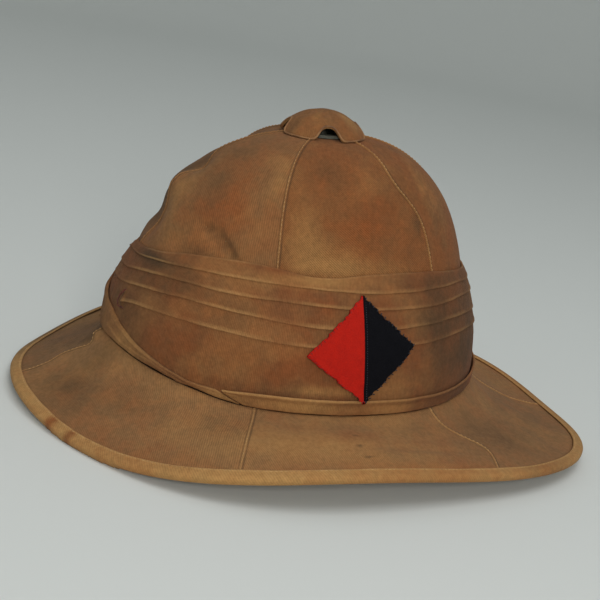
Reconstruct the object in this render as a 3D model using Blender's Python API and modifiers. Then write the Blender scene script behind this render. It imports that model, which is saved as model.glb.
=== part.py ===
"""A six-gore cloth sun helmet, modelled in Blender 4.5 from named sizes.

A moulded hull carries everything else: six crown gores, six brim pieces, a pleated wrap with its base
band and its tail, a two-colour felt patch, a bound rim, and a vent cap on a metal collar.
The front faces -Y and the wearer's left is +X. Azimuths are in degrees from the front towards +X, and
heights are above the hull's own zero level. Sizes are in millimetres until a mesh is made. The helmet is
modelled upright and then leans forward on its empty, as it comes to rest on its own rim.
"""

import math

import bmesh
import bpy
from mathutils import Matrix, Vector

MM = 0.001
MERGE = 0.00001
SHARP_ANGLE = 40.0

# Crown: half axes, height, and how full the meridian is (2 is an ellipse, more is squarer)
CROWN_HALF_LENGTH = 106.5
CROWN_HALF_WIDTH = 85.3
CROWN_HEIGHT = 146.8
FULLNESS = {"front": 2.62, "rear": 2.60, "side": 2.13, "side_top": 2.88}
SHOULDER_LEVEL = 0.45
CROWN_CENTRE_LOW = -2.2
CROWN_CENTRE_TOP = 2.8
VENT_RADIUS = 17.5

# Lines round the helmet as cosine series of the azimuth: mean, first harmonic, second and so on
BASE_LINE = (10.7, 7.9, 3.8, 0.7, 1.15)
RIM_HEIGHT = (-14.7, 11.0, -6.95, 1.5, 2.5, 1.75)
RIM_SWELL = (0.016, -0.005, 0.0, -0.0135, -0.016, 0.019)
BRIM_ARCH = (-0.1, 0.5, -5.25)
BRIM_COVE = (7.1, -2.2)

# Brim: reach of the rim from the crown's axis, and the cloth's rise over the straight line to it
RIM_REACH_FRONT = 169.7
RIM_REACH_REAR = 186.4
RIM_REACH_SIDE = 147.8
BRIM_LIFT = 1.2
COVE_LENGTH = 0.12

# Thicknesses and gaps
CLOTH = 1.0
GAP = 0.35
SEAM_GAP = 0.36
GORE_GAP = 0.5
HULL_WALL = 4.5
HULL_BRIM_AT_CROWN = 3.4
HULL_BRIM_AT_RIM = 1.7
SKIN_DEPTH = CLOTH + GAP

# Seams: azimuth, and how far the crown's seam drifts on its way up and bows at the shoulder
SEAMS = (
    # crown azimuth, crown drift, crown bow, brim azimuth
    (-0.7, 0.0, 0.0, -2.4),
    (64.3, -9.0, 0.0, 66.1),
    (125.4, -10.1, -8.0, 121.1),
    (180.0, 0.0, 0.0, 180.0),
    (234.6, 10.1, 8.0, 238.9),
    (295.7, 9.0, 0.0, 293.9),
)
BOW_LEVEL = 0.90
BOW_REACH = 0.11
COLUMNS_PER_GORE = 8
GORE_NAMES = ("left_front", "left_side", "left_rear", "right_rear", "right_side", "right_front")

# Stations: a rise is 0 at the base line, 1 at the wrap's top edge and 2 at the vent opening, and a
# brim station is 0 at the rim and 1 at the wrap's foot
CROWN_RISES = (0.04, 0.5, 1.0, 1.11, 1.22, 1.33, 1.44, 1.56, 1.70, 1.85, 2.0)
HULL_RISES = (0.0,) + CROWN_RISES[1:]
INNER_RISES = (1.86, 1.62, 1.33, 1.0, 0.5, 0.0)
BRIM_STATIONS = (0.0, 0.1, 0.32, 0.55, 0.75, 0.88, 1.0)
UNDER_STATIONS = (1.02, 0.7, 0.36, 0.1, 0.0)
DOME_SPREAD = 78.0
NORMAL_TURN = 0.4
NORMAL_STEP = 0.008

# Dents of the crown: a gaussian hollow, long across its turn, depth below the smooth form
DENTS = (
    # azimuth, height, half length, half width, turn in degrees, depth
    (43.0, 92.5, 15.0, 4.5, -30.0, 2.0),
)

# The knocked-in front: how far the cloth is pushed in at the front seam, and right of it
FRONT_DENTS = (
    # height, depth at the seam, depth to the right of it
    (78.0, 0.0, 0.0),
    (84.0, 1.8, 0.6),
    (88.0, 3.5, 2.0),
    (92.0, 4.6, 3.5),
    (96.0, 4.4, 3.6),
    (100.0, 3.7, 2.6),
    (103.5, 2.2, 1.2),
    (107.0, 0.0, 0.5),
    (111.5, -2.7, -1.0),
    (117.0, -2.2, 0.2),
    (121.0, 1.4, 1.2),
    (124.5, 4.6, 2.0),
    (127.5, 4.2, 2.3),
    (131.0, 1.0, 2.5),
    (134.0, -0.3, 3.7),
    (139.0, 0.0, 4.0),
    (144.0, 0.0, 1.5),
    (147.0, 0.0, 0.0),
)
FRONT_SEAM = -0.7
FRONT_LEFT_SPREAD = 8.0
FRONT_RIGHT_TURN = 15.0
FRONT_RIGHT_REACH = 45.0
FRONT_RIGHT_FADE = 20.0

DENT_LEAST = 0.01

# Wrap: its edges' heights by azimuth, on the wearer's left. The right is the same but for RIGHT_DROP
WRAP_LINES = (
    # azimuth, top edge, pleat 1, pleat 2, pleat 3, pleat 4
    (0, 77.5, 73.0, 64.5, 57.0, 44.8),
    (20, 80.5, 76.0, 69.0, 60.5, 50.6),
    (40, 85.2, 77.6, 70.3, 62.0, 51.3),
    (60, 85.2, 77.4, 69.2, 60.0, 49.0),
    (80, 81.1, 75.7, 67.4, 56.4, 45.7),
    (100, 82.5, 73.8, 65.0, 54.6, 45.6),
    (120, 81.9, 73.1, 64.0, 54.7, 45.0),
    (140, 79.0, 72.0, 64.2, 54.0, 44.8),
    (160, 75.0, 69.0, 61.3, 50.0, 41.5),
    (180, 73.5, 67.5, 60.0, 48.5, 40.0),
)
RIGHT_DROP = 0.15
WRAP_INNER = 0.6
WRAP_AT_TOP = 1.6
WRAP_AT_FOOT = 9.0
WRAP_BELLY = 2.3
PLEAT_DEPTH = 0.9
PLEAT_STEP = 0.8
PLEAT_RAMP = 6.0
FOOT_CLEARANCE = 0.4

# Base band, and the tail that crosses down over the left front and ends on the base line
BAND_HEIGHT = 9.6
BAND_THICKNESS = 1.2
BAND_END = 346.0
TAIL_THICKNESS = 1.7
TAIL = (
    # azimuth, lower edge, upper edge; the lower edge stays on the base line where this is lower
    (-46, 50.0, 60.0),
    (-34, 40.5, 56.5),
    (-22, 31.5, 51.5),
    (-12, 23.0, 47.5),
    (-4, 0.0, 43.8),
    (7, 0.0, 41.1),
    (20, 0.0, 33.5),
    (33, 0.0, 26.2),
    (46, 0.0, 20.2),
    (55, 0.0, 17.9),
    (61, 0.0, 13.0),
    (66, 0.0, 8.5),
)
TAIL_SHARES = (0.0, 0.35, 0.7, 1.0)
TAIL_TIP = 63.5
BAND_START = 57.0
BAND_DROP = 2.6
BAND_DROP_REACH = 8.0

# Patch: a lozenge in two halves on the wearer's left
PATCH_CORNERS = {
    # name: azimuth, height
    "top": (95.0, 73.5),
    "front": (79.0, 42.3),
    "rear": (112.3, 45.5),
    "foot": (96.0, 16.0),
}
PATCH_THICKNESS = 1.4
PATCH_STAND = 1.35
PATCH_STAND_AT_BAND = 2.1
PATCH_LIFT_REACH = 8.0
PATCH_TIP = 0.02
PATCH_ROWS = 8
PATCH_COLUMNS = 4

# Edge binding: distances in from the rim, and heights over the brim cloth
BINDING_TOP_WIDTH = 6.4
BINDING_UNDER_WIDTH = 5.6
BINDING_THICKNESS = 0.9
EDGE_SETBACK = 1.5
NOSE = (
    # distance in from the rim, height over the tape's outer under side
    (1.9, 0.0),
    (0.5, 0.9),
    (0.0, 2.4),
)
NOSE_TOP = (
    # distance in from the rim, depth below the tape's outer upper side
    (0.4, 1.1),
    (1.9, 0.0),
)
REST_FLAT = 0.45
REST_REACH = 0.85
MOST_LEAN = 10.0

# Vent: the collar's turned ring with its bridge and stud, and the scalloped cap
COLLAR_RADIUS = 16.7
COLLAR_WALL = 1.4
COLLAR_FLANGE = 19.5
COLLAR_FOOT = 137.0
COLLAR_TOP = 148.2
FLANGE_THICKNESS = 1.6
BRIDGE_WIDTH = 6.0
BRIDGE_THICKNESS = 2.0
COLLAR_STEPS = 32
STUD_SIDES = 16
STUD_RADIUS = 3.0
STUD_TOP = 157.8
CAP_RADIUS = 25.0
CAP_CREST = 160.2
CAP_CLEARANCE = 0.9
CAP_WALL = 1.6
NOTCH_AZIMUTH = 81.0
NOTCH_COUNT = 4
NOTCH_HALF_ANGLE = 24.0
NOTCH_HEIGHT = 8.0
NOTCH_ROUNDING = 0.7
CAP_PROFILE = 1.5
CAP_COLUMNS = (-45, -32, -NOTCH_HALF_ANGLE, -16, -11, -6, 0, 6, 11, 16, NOTCH_HALF_ANGLE, 32)
CAP_ROWS = 5

# Surface finishes: sRGB colour as 0 to 255, roughness, metallic
FINISHES = {
    "crown_cloth": ((150, 110, 70), 0.92, 0.0),
    "brim_cloth": ((146, 106, 70), 0.92, 0.0),
    "wrap_cloth": ((128, 88, 58), 0.94, 0.0),
    "binding_tape": ((176, 138, 90), 0.88, 0.0),
    "red_felt": ((178, 30, 26), 0.97, 0.0),
    "black_felt": ((22, 22, 32), 0.97, 0.0),
    "moulded_hull": ((176, 150, 112), 0.95, 0.0),
    "vent_metal": ((98, 104, 88), 0.45, 0.9),
}


def srgb_to_linear(value):
    """One sRGB channel, 0 to 255, as the linear value a shader takes."""
    part = value / 255
    return part / 12.92 if part <= 0.04045 else ((part + 0.055) / 1.055) ** 2.4


def make_material(name):
    colour, roughness, metallic = FINISHES[name]
    material = bpy.data.materials.new(name)
    material.use_nodes = True
    shader = material.node_tree.nodes["Principled BSDF"]
    shader.inputs["Base Color"].default_value = [srgb_to_linear(c) for c in colour] + [1.0]
    shader.inputs["Roughness"].default_value = roughness
    shader.inputs["Metallic"].default_value = metallic
    return material


# Curves round the helmet


def waves(series, azimuth):
    """A cosine series in the azimuth: smooth, periodic, and the same left and right."""
    angle = math.radians(azimuth)
    return sum(amount * math.cos(order * angle) for order, amount in enumerate(series))


def smooth(value):
    value = min(max(value, 0.0), 1.0)
    return value * value * (3 - 2 * value)


def between(table, column, at):
    """A table's column at a place along its first column, on straight lines from row to row."""
    if at <= table[0][0]:
        return table[0][column]
    for low, high in zip(table, table[1:]):
        if at <= high[0]:
            part = (at - low[0]) / (high[0] - low[0])
            return low[column] + (high[column] - low[column]) * part
    return table[-1][column]


def wrap_line(column, azimuth):
    """Height of one of the wrap's edges: 1 is its top edge, 2 to 5 are the pleats.

    The curve is a Catmull-Rom spline through the table, mirrored at the front and the rear. On the
    wearer's right, towards the front, it sits lower by RIGHT_DROP of its height over the base line.
    """
    turned = azimuth % 360
    last = len(WRAP_LINES) - 1
    place = min(turned, 360 - turned) / 180 * last
    index = min(int(place), last - 1)
    part = place - index
    rows = [abs(index - 1), index, index + 1, last - abs(last - index - 2)]
    before, low, high, after = (WRAP_LINES[row][column] for row in rows)
    bend = 2 * before - 5 * low + 4 * high - after
    twist = 3 * (low - high) + after - before
    height = low + 0.5 * part * (high - before + part * (bend + part * twist))
    right = -azimuth % 360
    drop = RIGHT_DROP * smooth((right - 2) / 18) * (1 - smooth((right - 80) / 50))
    return height - drop * (height - waves(BASE_LINE, azimuth))


def tail_edges(azimuth):
    """Heights of the tail's lower and upper edge."""
    low = max(between(TAIL, 1, azimuth), waves(BASE_LINE, azimuth) + FOOT_CLEARANCE)
    return low, between(TAIL, 2, azimuth)


# The crown's form


def crown_radius(azimuth, height):
    """The crown's radius at a height, as a share of its radius at the base."""
    ahead = math.cos(math.radians(azimuth))
    end = FULLNESS["front"] if ahead > 0 else FULLNESS["rear"]
    level = min(max(height / CROWN_HEIGHT, 0.0), 0.9999)
    shoulder = smooth((level - SHOULDER_LEVEL) / (1 - SHOULDER_LEVEL))
    side = FULLNESS["side"] + (FULLNESS["side_top"] - FULLNESS["side"]) * shoulder
    power = side + (end - side) * ahead * ahead
    return (1 - level**power) ** (1 / power)


def crown_at(azimuth, height, stand=0.0):
    """A point beside the smooth crown: stand is how far outside it, measured level."""
    angle = math.radians(azimuth)
    share = crown_radius(azimuth, height)
    level = max(height, 0.0) / CROWN_HEIGHT
    centre = CROWN_CENTRE_LOW + (CROWN_CENTRE_TOP - CROWN_CENTRE_LOW) * level**2
    return Vector(
        (
            (CROWN_HALF_WIDTH * share + stand) * math.sin(angle),
            centre - (CROWN_HALF_LENGTH * share + stand) * math.cos(angle),
            height,
        )
    )


def level_at(azimuth, radius):
    """The height where the crown is as narrow as a given radius."""
    angle = math.radians(azimuth)
    reach = math.hypot(CROWN_HALF_WIDTH * math.sin(angle), CROWN_HALF_LENGTH * math.cos(angle))
    low, high = CROWN_HEIGHT / 2, CROWN_HEIGHT * 0.9999
    for _ in range(40):
        middle = (low + high) / 2
        if crown_radius(azimuth, middle) * reach > radius:
            low = middle
        else:
            high = middle
    return low


def crown_height(azimuth, rise):
    """Height of a crown station: rise 0 is the base line, 1 the wrap's top edge, 2 the vent opening."""
    foot, top = waves(BASE_LINE, azimuth), wrap_line(1, azimuth)
    if rise <= 1:
        return foot + (top - foot) * rise
    last = math.radians(DOME_SPREAD)
    climb = level_at(azimuth, VENT_RADIUS) - top
    return top + climb * math.sin((rise - 1) * last) / math.sin(last)


def normal_of(surface, azimuth, station):
    """The unit normal of a surface given as a function of azimuth and station."""
    across = surface(azimuth + NORMAL_TURN, station) - surface(azimuth - NORMAL_TURN, station)
    along = surface(azimuth, station + NORMAL_STEP) - surface(azimuth, station - NORMAL_STEP)
    return across.cross(along).normalized()


def smooth_crown(azimuth, rise):
    return crown_at(azimuth, crown_height(azimuth, rise))


def front_depth(turned, height):
    """The front's dents: they end softly on the left, and run further round on the right."""
    seam = between(FRONT_DENTS, 1, height)
    off = turned - FRONT_SEAM
    if off > 0:
        return seam * math.exp(-((off / FRONT_LEFT_SPREAD) ** 2))
    right = between(FRONT_DENTS, 2, height)
    fade = 1 - smooth((-off - FRONT_RIGHT_REACH) / FRONT_RIGHT_FADE)
    return (seam + (right - seam) * smooth(-off / FRONT_RIGHT_TURN)) * fade


def dent_depth(azimuth, height):
    """How far the dents push the crown in at a place, the sum of the table's hollows."""
    turned = (azimuth + 180) % 360 - 180
    total = front_depth(turned, height)
    for centre, level, half_length, half_width, turn, depth in DENTS:
        along = math.radians(turned - centre) * (CROWN_HALF_LENGTH + CROWN_HALF_WIDTH) / 2
        up = height - level
        cosine, sine = math.cos(math.radians(turn)), math.sin(math.radians(turn))
        far = (along * cosine + up * sine) / half_length
        off = (up * cosine - along * sine) / half_width
        total += depth * math.exp(-far * far - off * off)
    return total


def crown_skin(azimuth, rise):
    """The crown cloth's outer face, with its dents."""
    point = smooth_crown(azimuth, rise)
    depth = dent_depth(azimuth, point.z)
    if abs(depth) < DENT_LEAST:
        return point
    return point - normal_of(smooth_crown, azimuth, rise) * depth


def crown_inside(azimuth, rise, depth):
    """A point under the crown's face, straight in from it."""
    return crown_skin(azimuth, rise) - normal_of(crown_skin, azimuth, rise) * depth


# The brim's form


def rim_point(azimuth):
    angle = math.radians(azimuth)
    reach = RIM_REACH_FRONT if math.cos(angle) > 0 else RIM_REACH_REAR
    swell = 1 + waves(RIM_SWELL, azimuth)
    return Vector(
        (
            RIM_REACH_SIDE * swell * math.sin(angle),
            -reach * swell * math.cos(angle),
            waves(RIM_HEIGHT, azimuth),
        )
    )


def brim_start(azimuth):
    """Where the brim comes out from under the wrap's foot."""
    foot = waves(BASE_LINE, azimuth)
    point = crown_at(azimuth, foot, WRAP_AT_FOOT)
    point.z = foot - FOOT_CLEARANCE
    return point


def brim_skin(azimuth, inward):
    """The brim cloth's upper face: inward is 0 at the rim and 1 at the wrap's foot."""
    reach = 1 - inward
    point = brim_start(azimuth).lerp(rim_point(azimuth), reach)
    open_reach = max(reach, 0.0)
    arch = 4 * open_reach * (1 - open_reach) * waves(BRIM_ARCH, azimuth)
    cove = waves(BRIM_COVE, azimuth) * ((1 - open_reach) - math.exp(-open_reach / COVE_LENGTH))
    point.z += arch - cove + BRIM_LIFT * smooth(2 * open_reach)
    return point


def brim_offset(azimuth, inward, over):
    """A point over the brim's face, or under it where over is negative."""
    return brim_skin(azimuth, inward) + normal_of(brim_skin, azimuth, inward) * over


def brim_length(azimuth):
    return (rim_point(azimuth) - brim_start(azimuth)).to_2d().length


def hull_brim_thickness(inward):
    return HULL_BRIM_AT_RIM + (HULL_BRIM_AT_CROWN - HULL_BRIM_AT_RIM) * inward


# Columns: the meshes share them, so that one cloth's facets lie flat on the next


def column_azimuth(gore, part, rise):
    """Azimuth of a column: the brim's seams below, eased into the crown's seams under the wrap."""
    ends = []
    for index in (gore, gore + 1):
        crown, drift, bow, brim = SEAMS[index % len(SEAMS)]
        turn = 360 * (index // len(SEAMS))
        azimuth = brim
        if rise > 0:
            level = crown_height(crown, rise) / CROWN_HEIGHT
            bowed = bow * math.exp(-(((level - BOW_LEVEL) / BOW_REACH) ** 2))
            climbing = crown + drift * (level**2 - 0.5) + bowed
            azimuth += (climbing - brim) * smooth(rise)
        ends.append(azimuth + turn)
    return ends[0] + (ends[1] - ends[0]) * part


def all_columns(rise=0.0):
    """The azimuths of every column round the helmet at one level."""
    return [
        column_azimuth(gore, step / COLUMNS_PER_GORE, rise)
        for gore in range(len(SEAMS))
        for step in range(COLUMNS_PER_GORE)
    ]


def pulled_in(azimuth, part, radius):
    """The azimuth of a gore's edge column, drawn in by half the gap of the seam."""
    turn = math.degrees(GORE_GAP / 2 / radius)
    return azimuth + turn * ((part == 0) - (part == 1))


# Mesh makers


def add_object(name, points, faces, material, parent):
    mesh = bpy.data.meshes.new(name)
    mesh.from_pydata([tuple(point * MM) for point in points], [], faces)
    mesh.materials.append(MATERIALS[material])
    mesh.shade_smooth()
    mesh.set_sharp_from_angle(angle=math.radians(SHARP_ANGLE))
    obj = bpy.data.objects.new(name, mesh)
    obj.parent = parent
    COLLECTION.objects.link(obj)
    return obj


def add_sheet(name, columns, thickness, side, material, parent):
    """An open surface of columns of points, thickened inwards (side -1) or outwards (side 1)."""
    rows = len(columns[0])
    points = [point for column in columns for point in column]
    faces = [
        (c * rows + r, (c + 1) * rows + r, (c + 1) * rows + r + 1, c * rows + r + 1)
        for c in range(len(columns) - 1)
        for r in range(rows - 1)
    ]
    obj = add_object(name, points, faces, material, parent)
    thicken(obj, thickness, side)
    return obj


def thicken(obj, thickness, side):
    solidify = obj.modifiers.new("wall", "SOLIDIFY")
    solidify.thickness = thickness * MM
    solidify.offset = side
    solidify.use_even_offset = True


def add_ring(name, sections, material, parent):
    """A closed loft through closed sections, round the helmet and back to the first."""
    count = len(sections[0])
    points = [point for section in sections for point in section]
    faces = []
    for c in range(len(sections)):
        here, after = c * count, (c + 1) % len(sections) * count
        for r in range(count):
            up = (r + 1) % count
            faces.append((here + r, after + r, after + up, here + up))
    return add_object(name, points, faces, material, parent)


# Hull


def edge_station(azimuth, station):
    """A brim station, with station 0 drawn back from the rim by the edge's setback."""
    start = EDGE_SETBACK / brim_length(azimuth)
    return start + (1 - start) * station


def hull_crown_section(gore, part):
    """The crown's wall, up its outer face to the vent opening and down its inner face."""
    outer, inner = [], []
    for rise in HULL_RISES:
        azimuth = column_azimuth(gore, part, rise)
        outer.append(crown_inside(azimuth, rise, SKIN_DEPTH))
    for rise in INNER_RISES:
        azimuth = column_azimuth(gore, part, rise)
        inner.append(crown_inside(azimuth, rise, SKIN_DEPTH + HULL_WALL))
    return outer + [outer[-1] - Vector((0, 0, HULL_WALL))] + inner


def hull_brim_section(gore, part):
    """The brim's wall, in along its upper face, under the crown's foot and out along its under side."""
    azimuth = column_azimuth(gore, part, 0)
    section = [
        brim_offset(azimuth, edge_station(azimuth, station), -SKIN_DEPTH) for station in BRIM_STATIONS
    ]
    for depth in (SKIN_DEPTH, SKIN_DEPTH + HULL_WALL):
        section.append(crown_inside(azimuth, 0.0, depth) - Vector((0, 0, GAP)))
    for station in UNDER_STATIONS:
        inward = edge_station(azimuth, station)
        depth = SKIN_DEPTH + hull_brim_thickness(inward)
        section.append(brim_offset(azimuth, inward, -depth))
    return section


def add_hull(parent):
    """The moulded shell in two solids, the crown's and the brim's, which meet at the crown's foot."""
    for name, section in (("hull_crown", hull_crown_section), ("hull_brim", hull_brim_section)):
        sections = [
            section(gore, step / COLUMNS_PER_GORE)
            for gore in range(len(SEAMS))
            for step in range(COLUMNS_PER_GORE)
        ]
        add_ring(name, sections, "moulded_hull", parent)


# Cloth gores and brim pieces


def add_crown_gore(gore, parent):
    columns = []
    for step in range(COLUMNS_PER_GORE + 1):
        part = step / COLUMNS_PER_GORE
        column = []
        for rise in CROWN_RISES:
            azimuth = column_azimuth(gore, part, rise)
            radius = (crown_skin(azimuth, rise) - Vector((0, CROWN_CENTRE_TOP, 0))).to_2d().length
            column.append(crown_skin(pulled_in(azimuth, part, radius), rise))
        columns.append(column)
    return add_sheet(f"crown_gore_{GORE_NAMES[gore]}", columns, CLOTH, -1, "crown_cloth", parent)


def add_brim_piece(gore, parent):
    columns = []
    for step in range(COLUMNS_PER_GORE + 1):
        part = step / COLUMNS_PER_GORE
        azimuth = column_azimuth(gore, part, 0)
        column = []
        for station in BRIM_STATIONS:
            inward = edge_station(azimuth, station)
            radius = brim_skin(azimuth, inward).to_2d().length
            column.append(brim_skin(pulled_in(azimuth, part, radius), inward))
        columns.append(column)
    return add_sheet(f"brim_piece_{GORE_NAMES[gore]}", columns, CLOTH, -1, "brim_cloth", parent)


# Wrap, band and tail


def wrap_stand(azimuth, height):
    """How far the wrap's face stands outside the crown, before its pleats."""
    foot, top = waves(BASE_LINE, azimuth), wrap_line(1, azimuth)
    share = (height - foot) / (top - foot)
    return WRAP_AT_FOOT + (WRAP_AT_TOP - WRAP_AT_FOOT) * share + 4 * share * (1 - share) * WRAP_BELLY


def wrap_point(azimuth, height, over=0.0):
    return crown_at(azimuth, height, wrap_stand(azimuth, height) + over)


def wrap_section(azimuth):
    """The wrap's outline in one column: each pleat swells to its lower edge and steps back under it."""
    foot = waves(BASE_LINE, azimuth)
    top = wrap_line(1, azimuth)
    band_top = foot + BAND_HEIGHT
    lowest = wrap_line(5, azimuth) - PLEAT_STEP
    section = [wrap_point(azimuth, foot + FOOT_CLEARANCE)]
    section.append(wrap_point(azimuth, band_top))
    section.append(wrap_point(azimuth, (band_top + lowest) / 2))
    for pleat in (5, 4, 3, 2):
        edge = wrap_line(pleat, azimuth)
        section.append(wrap_point(azimuth, edge - PLEAT_STEP))
        section.append(wrap_point(azimuth, edge, PLEAT_DEPTH))
    section.append(wrap_point(azimuth, top))
    for height in (top - PLEAT_STEP, (foot + top) / 2, foot + FOOT_CLEARANCE):
        section.append(crown_at(azimuth, height, WRAP_INNER))
    return section


def add_wrap(parent):
    return add_ring("wrap", [wrap_section(azimuth) for azimuth in all_columns()], "wrap_cloth", parent)


def strip_columns(start, end):
    """The shared columns between two azimuths, with both ends added."""
    inside = []
    for turn in (-360, 0, 360):
        inside += [a + turn for a in all_columns() if start + 1 < a + turn < end - 1]
    return [start] + sorted(inside) + [end]


def add_band(parent):
    columns = []
    for azimuth in strip_columns(BAND_START, BAND_END):
        foot = waves(BASE_LINE, azimuth)
        drop = BAND_DROP * math.exp((BAND_START - azimuth) / BAND_DROP_REACH)
        low, high = foot + FOOT_CLEARANCE, foot + BAND_HEIGHT - drop
        if azimuth < TAIL[-1][0]:
            low = max(low, tail_edges(azimuth)[1] + SEAM_GAP)
        if azimuth > 360 + TAIL[0][0]:
            high = min(high, tail_edges(azimuth - 360)[0] - SEAM_GAP)
        columns.append([wrap_point(azimuth, low, GAP), wrap_point(azimuth, high, GAP)])
    return add_sheet("wrap_base_band", columns, BAND_THICKNESS, 1, "wrap_cloth", parent)


def add_tail(parent):
    columns = []
    for azimuth in strip_columns(TAIL[0][0], TAIL_TIP):
        low, high = tail_edges(azimuth)
        column = []
        for share in TAIL_SHARES:
            height = low + (high - low) * share
            over_pleats = smooth((height - wrap_line(5, azimuth) + PLEAT_RAMP) / PLEAT_RAMP)
            column.append(wrap_point(azimuth, height, GAP + PLEAT_DEPTH * over_pleats))
        columns.append(column)
    return add_sheet("wrap_tail", columns, TAIL_THICKNESS, 1, "wrap_cloth", parent)


# Patch


def patch_fold(height):
    """Azimuth of the line where the two halves meet."""
    (top, high), (foot, low) = PATCH_CORNERS["top"], PATCH_CORNERS["foot"]
    return foot + (top - foot) * (height - low) / (high - low)


def straight_edge(side, height):
    """The lozenge's edge as straight lines between its corners."""
    top, foot, corner = PATCH_CORNERS["top"], PATCH_CORNERS["foot"], PATCH_CORNERS[side]
    end = top if height > corner[1] else foot
    share = (height - end[1]) / (corner[1] - end[1])
    return end[0] + (corner[0] - end[0]) * share


def add_patch_half(name, side, material, parent):
    top, foot = PATCH_CORNERS["top"][1], PATCH_CORNERS["foot"][1]
    corner = PATCH_CORNERS[side][1]
    half = PATCH_ROWS // 2
    heights = [foot + (corner - foot) * (PATCH_TIP + (1 - PATCH_TIP) * r / half) for r in range(half)]
    heights += [top - (top - corner) * (PATCH_TIP + (1 - PATCH_TIP) * r / half) for r in range(half, -1, -1)]
    direction = 1 if side == "rear" else -1
    columns = []
    for step in range(PATCH_COLUMNS + 1):
        column = []
        for height in heights:
            radius = wrap_point(patch_fold(height), height).to_2d().length
            inner = patch_fold(height) + direction * math.degrees(SEAM_GAP / 2 / radius)
            outer = straight_edge(side, height)
            azimuth = inner + (outer - inner) * step / PATCH_COLUMNS
            low = waves(BASE_LINE, azimuth) + BAND_HEIGHT
            lift = smooth((low + PATCH_LIFT_REACH - height) / PATCH_LIFT_REACH)
            stand = PATCH_STAND + (PATCH_STAND_AT_BAND - PATCH_STAND) * lift
            column.append(wrap_point(azimuth, height, stand))
        columns.append(column)
    if side == "front":
        columns.reverse()
    return add_sheet(name, columns, PATCH_THICKNESS, 1, material, parent)


# Edge binding


def binding_section(azimuth):
    """A tape folded over the rim: under flap, nose, upper flap, and back along its inner side."""
    length = brim_length(azimuth)
    under = SKIN_DEPTH + HULL_BRIM_AT_RIM + GAP
    outer_under = under + BINDING_THICKNESS
    extra = hull_brim_thickness(BINDING_UNDER_WIDTH / length) - HULL_BRIM_AT_RIM
    outer_top = GAP + BINDING_THICKNESS
    places = [(BINDING_UNDER_WIDTH, -outer_under - extra)]
    places += [(inset, rise - outer_under) for inset, rise in NOSE]
    places += [(inset, outer_top - drop) for inset, drop in NOSE_TOP]
    places += [
        (BINDING_TOP_WIDTH, outer_top),
        (BINDING_TOP_WIDTH, GAP),
        (EDGE_SETBACK - GAP, GAP),
        (EDGE_SETBACK - GAP, -under),
        (BINDING_UNDER_WIDTH, -under - extra),
    ]
    return [brim_offset(azimuth, inset / length, over) for inset, over in places]


def settle(sections):
    """The lean and the drop that bring the rim's front and rear down to the floor together."""
    points = [point for section in sections for point in section]

    def lowest(lean, ahead):
        turned = Matrix.Rotation(lean, 3, "X")
        return min((turned @ point).z for point in points if (point.y < 0) == ahead)

    low, high = 0.0, math.radians(MOST_LEAN)
    for _ in range(50):
        middle = (low + high) / 2
        if lowest(middle, True) > lowest(middle, False):
            low = middle
        else:
            high = middle
    turned = [Matrix.Rotation(low, 3, "X") @ point for point in points]
    centre = (min(point.y for point in turned) + max(point.y for point in turned)) / 2
    drop = min(point.z for point in turned) + REST_FLAT
    return low, Vector((0, -centre, -drop))


def add_binding(sections, lean, move, parent):
    """The binding, whose outer under side lies flat where it comes within reach of the floor."""
    stand = Matrix.Translation(move) @ Matrix.Rotation(lean, 4, "X")
    back = stand.inverted()
    for section in sections:
        for index in range(len(NOSE) + 1):
            placed = stand @ section[index]
            if placed.z < REST_REACH:
                placed.z = 0
                section[index] = back @ placed
    return add_ring("edge_binding", sections, "binding_tape", parent)


# Vent


def add_collar(parent):
    """A turned ring through the crown, with a bridge across it that carries the cap's stud."""
    outline = (
        # radius, height, down the outer side and back up the bore
        (COLLAR_FLANGE, COLLAR_TOP),
        (COLLAR_FLANGE, COLLAR_TOP - FLANGE_THICKNESS),
        (COLLAR_RADIUS, COLLAR_TOP - FLANGE_THICKNESS),
        (COLLAR_RADIUS, COLLAR_FOOT),
        (COLLAR_RADIUS - COLLAR_WALL, COLLAR_FOOT),
        (COLLAR_RADIUS - COLLAR_WALL, COLLAR_TOP),
    )
    count = len(outline)
    mesh = bpy.data.meshes.new("vent_collar")
    edges = [(index, (index + 1) % count) for index in range(count)]
    mesh.from_pydata([(radius * MM, 0, height * MM) for radius, height in outline], edges, [])
    mesh.materials.append(MATERIALS["vent_metal"])
    collar = bpy.data.objects.new("vent_collar", mesh)
    COLLECTION.objects.link(collar)
    turn = collar.modifiers.new("turned", "SCREW")
    turn.steps = turn.render_steps = COLLAR_STEPS
    turn.use_merge_vertices = True
    turn.merge_threshold = MERGE
    bridge_height = COLLAR_FOOT + BRIDGE_THICKNESS
    bpy.ops.mesh.primitive_cube_add(size=1)
    bridge = bpy.context.object
    bridge.scale = (
        2 * (COLLAR_RADIUS - COLLAR_WALL / 2) * MM,
        BRIDGE_WIDTH * MM,
        BRIDGE_THICKNESS * MM,
    )
    bridge.location.z = bridge_height * MM
    stud_length = STUD_TOP - bridge_height
    bpy.ops.mesh.primitive_cylinder_add(
        vertices=STUD_SIDES, radius=STUD_RADIUS * MM, depth=stud_length * MM
    )
    stud = bpy.context.object
    stud.location.z = (bridge_height + stud_length / 2) * MM
    for helper, name in ((bridge, "collar_bridge"), (stud, "collar_stud")):
        helper.name = name
        for owner in helper.users_collection:
            owner.objects.unlink(helper)
        HELPERS.objects.link(helper)
        helper.hide_render = True
        helper.display_type = "WIRE"
        join = collar.modifiers.new(name, "BOOLEAN")
        join.operation = "UNION"
        join.object = helper
        join.solver = "EXACT"
    for piece in (collar, bridge, stud):
        piece.parent = parent
        piece.location.y = CROWN_CENTRE_TOP * MM
    return collar


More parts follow.
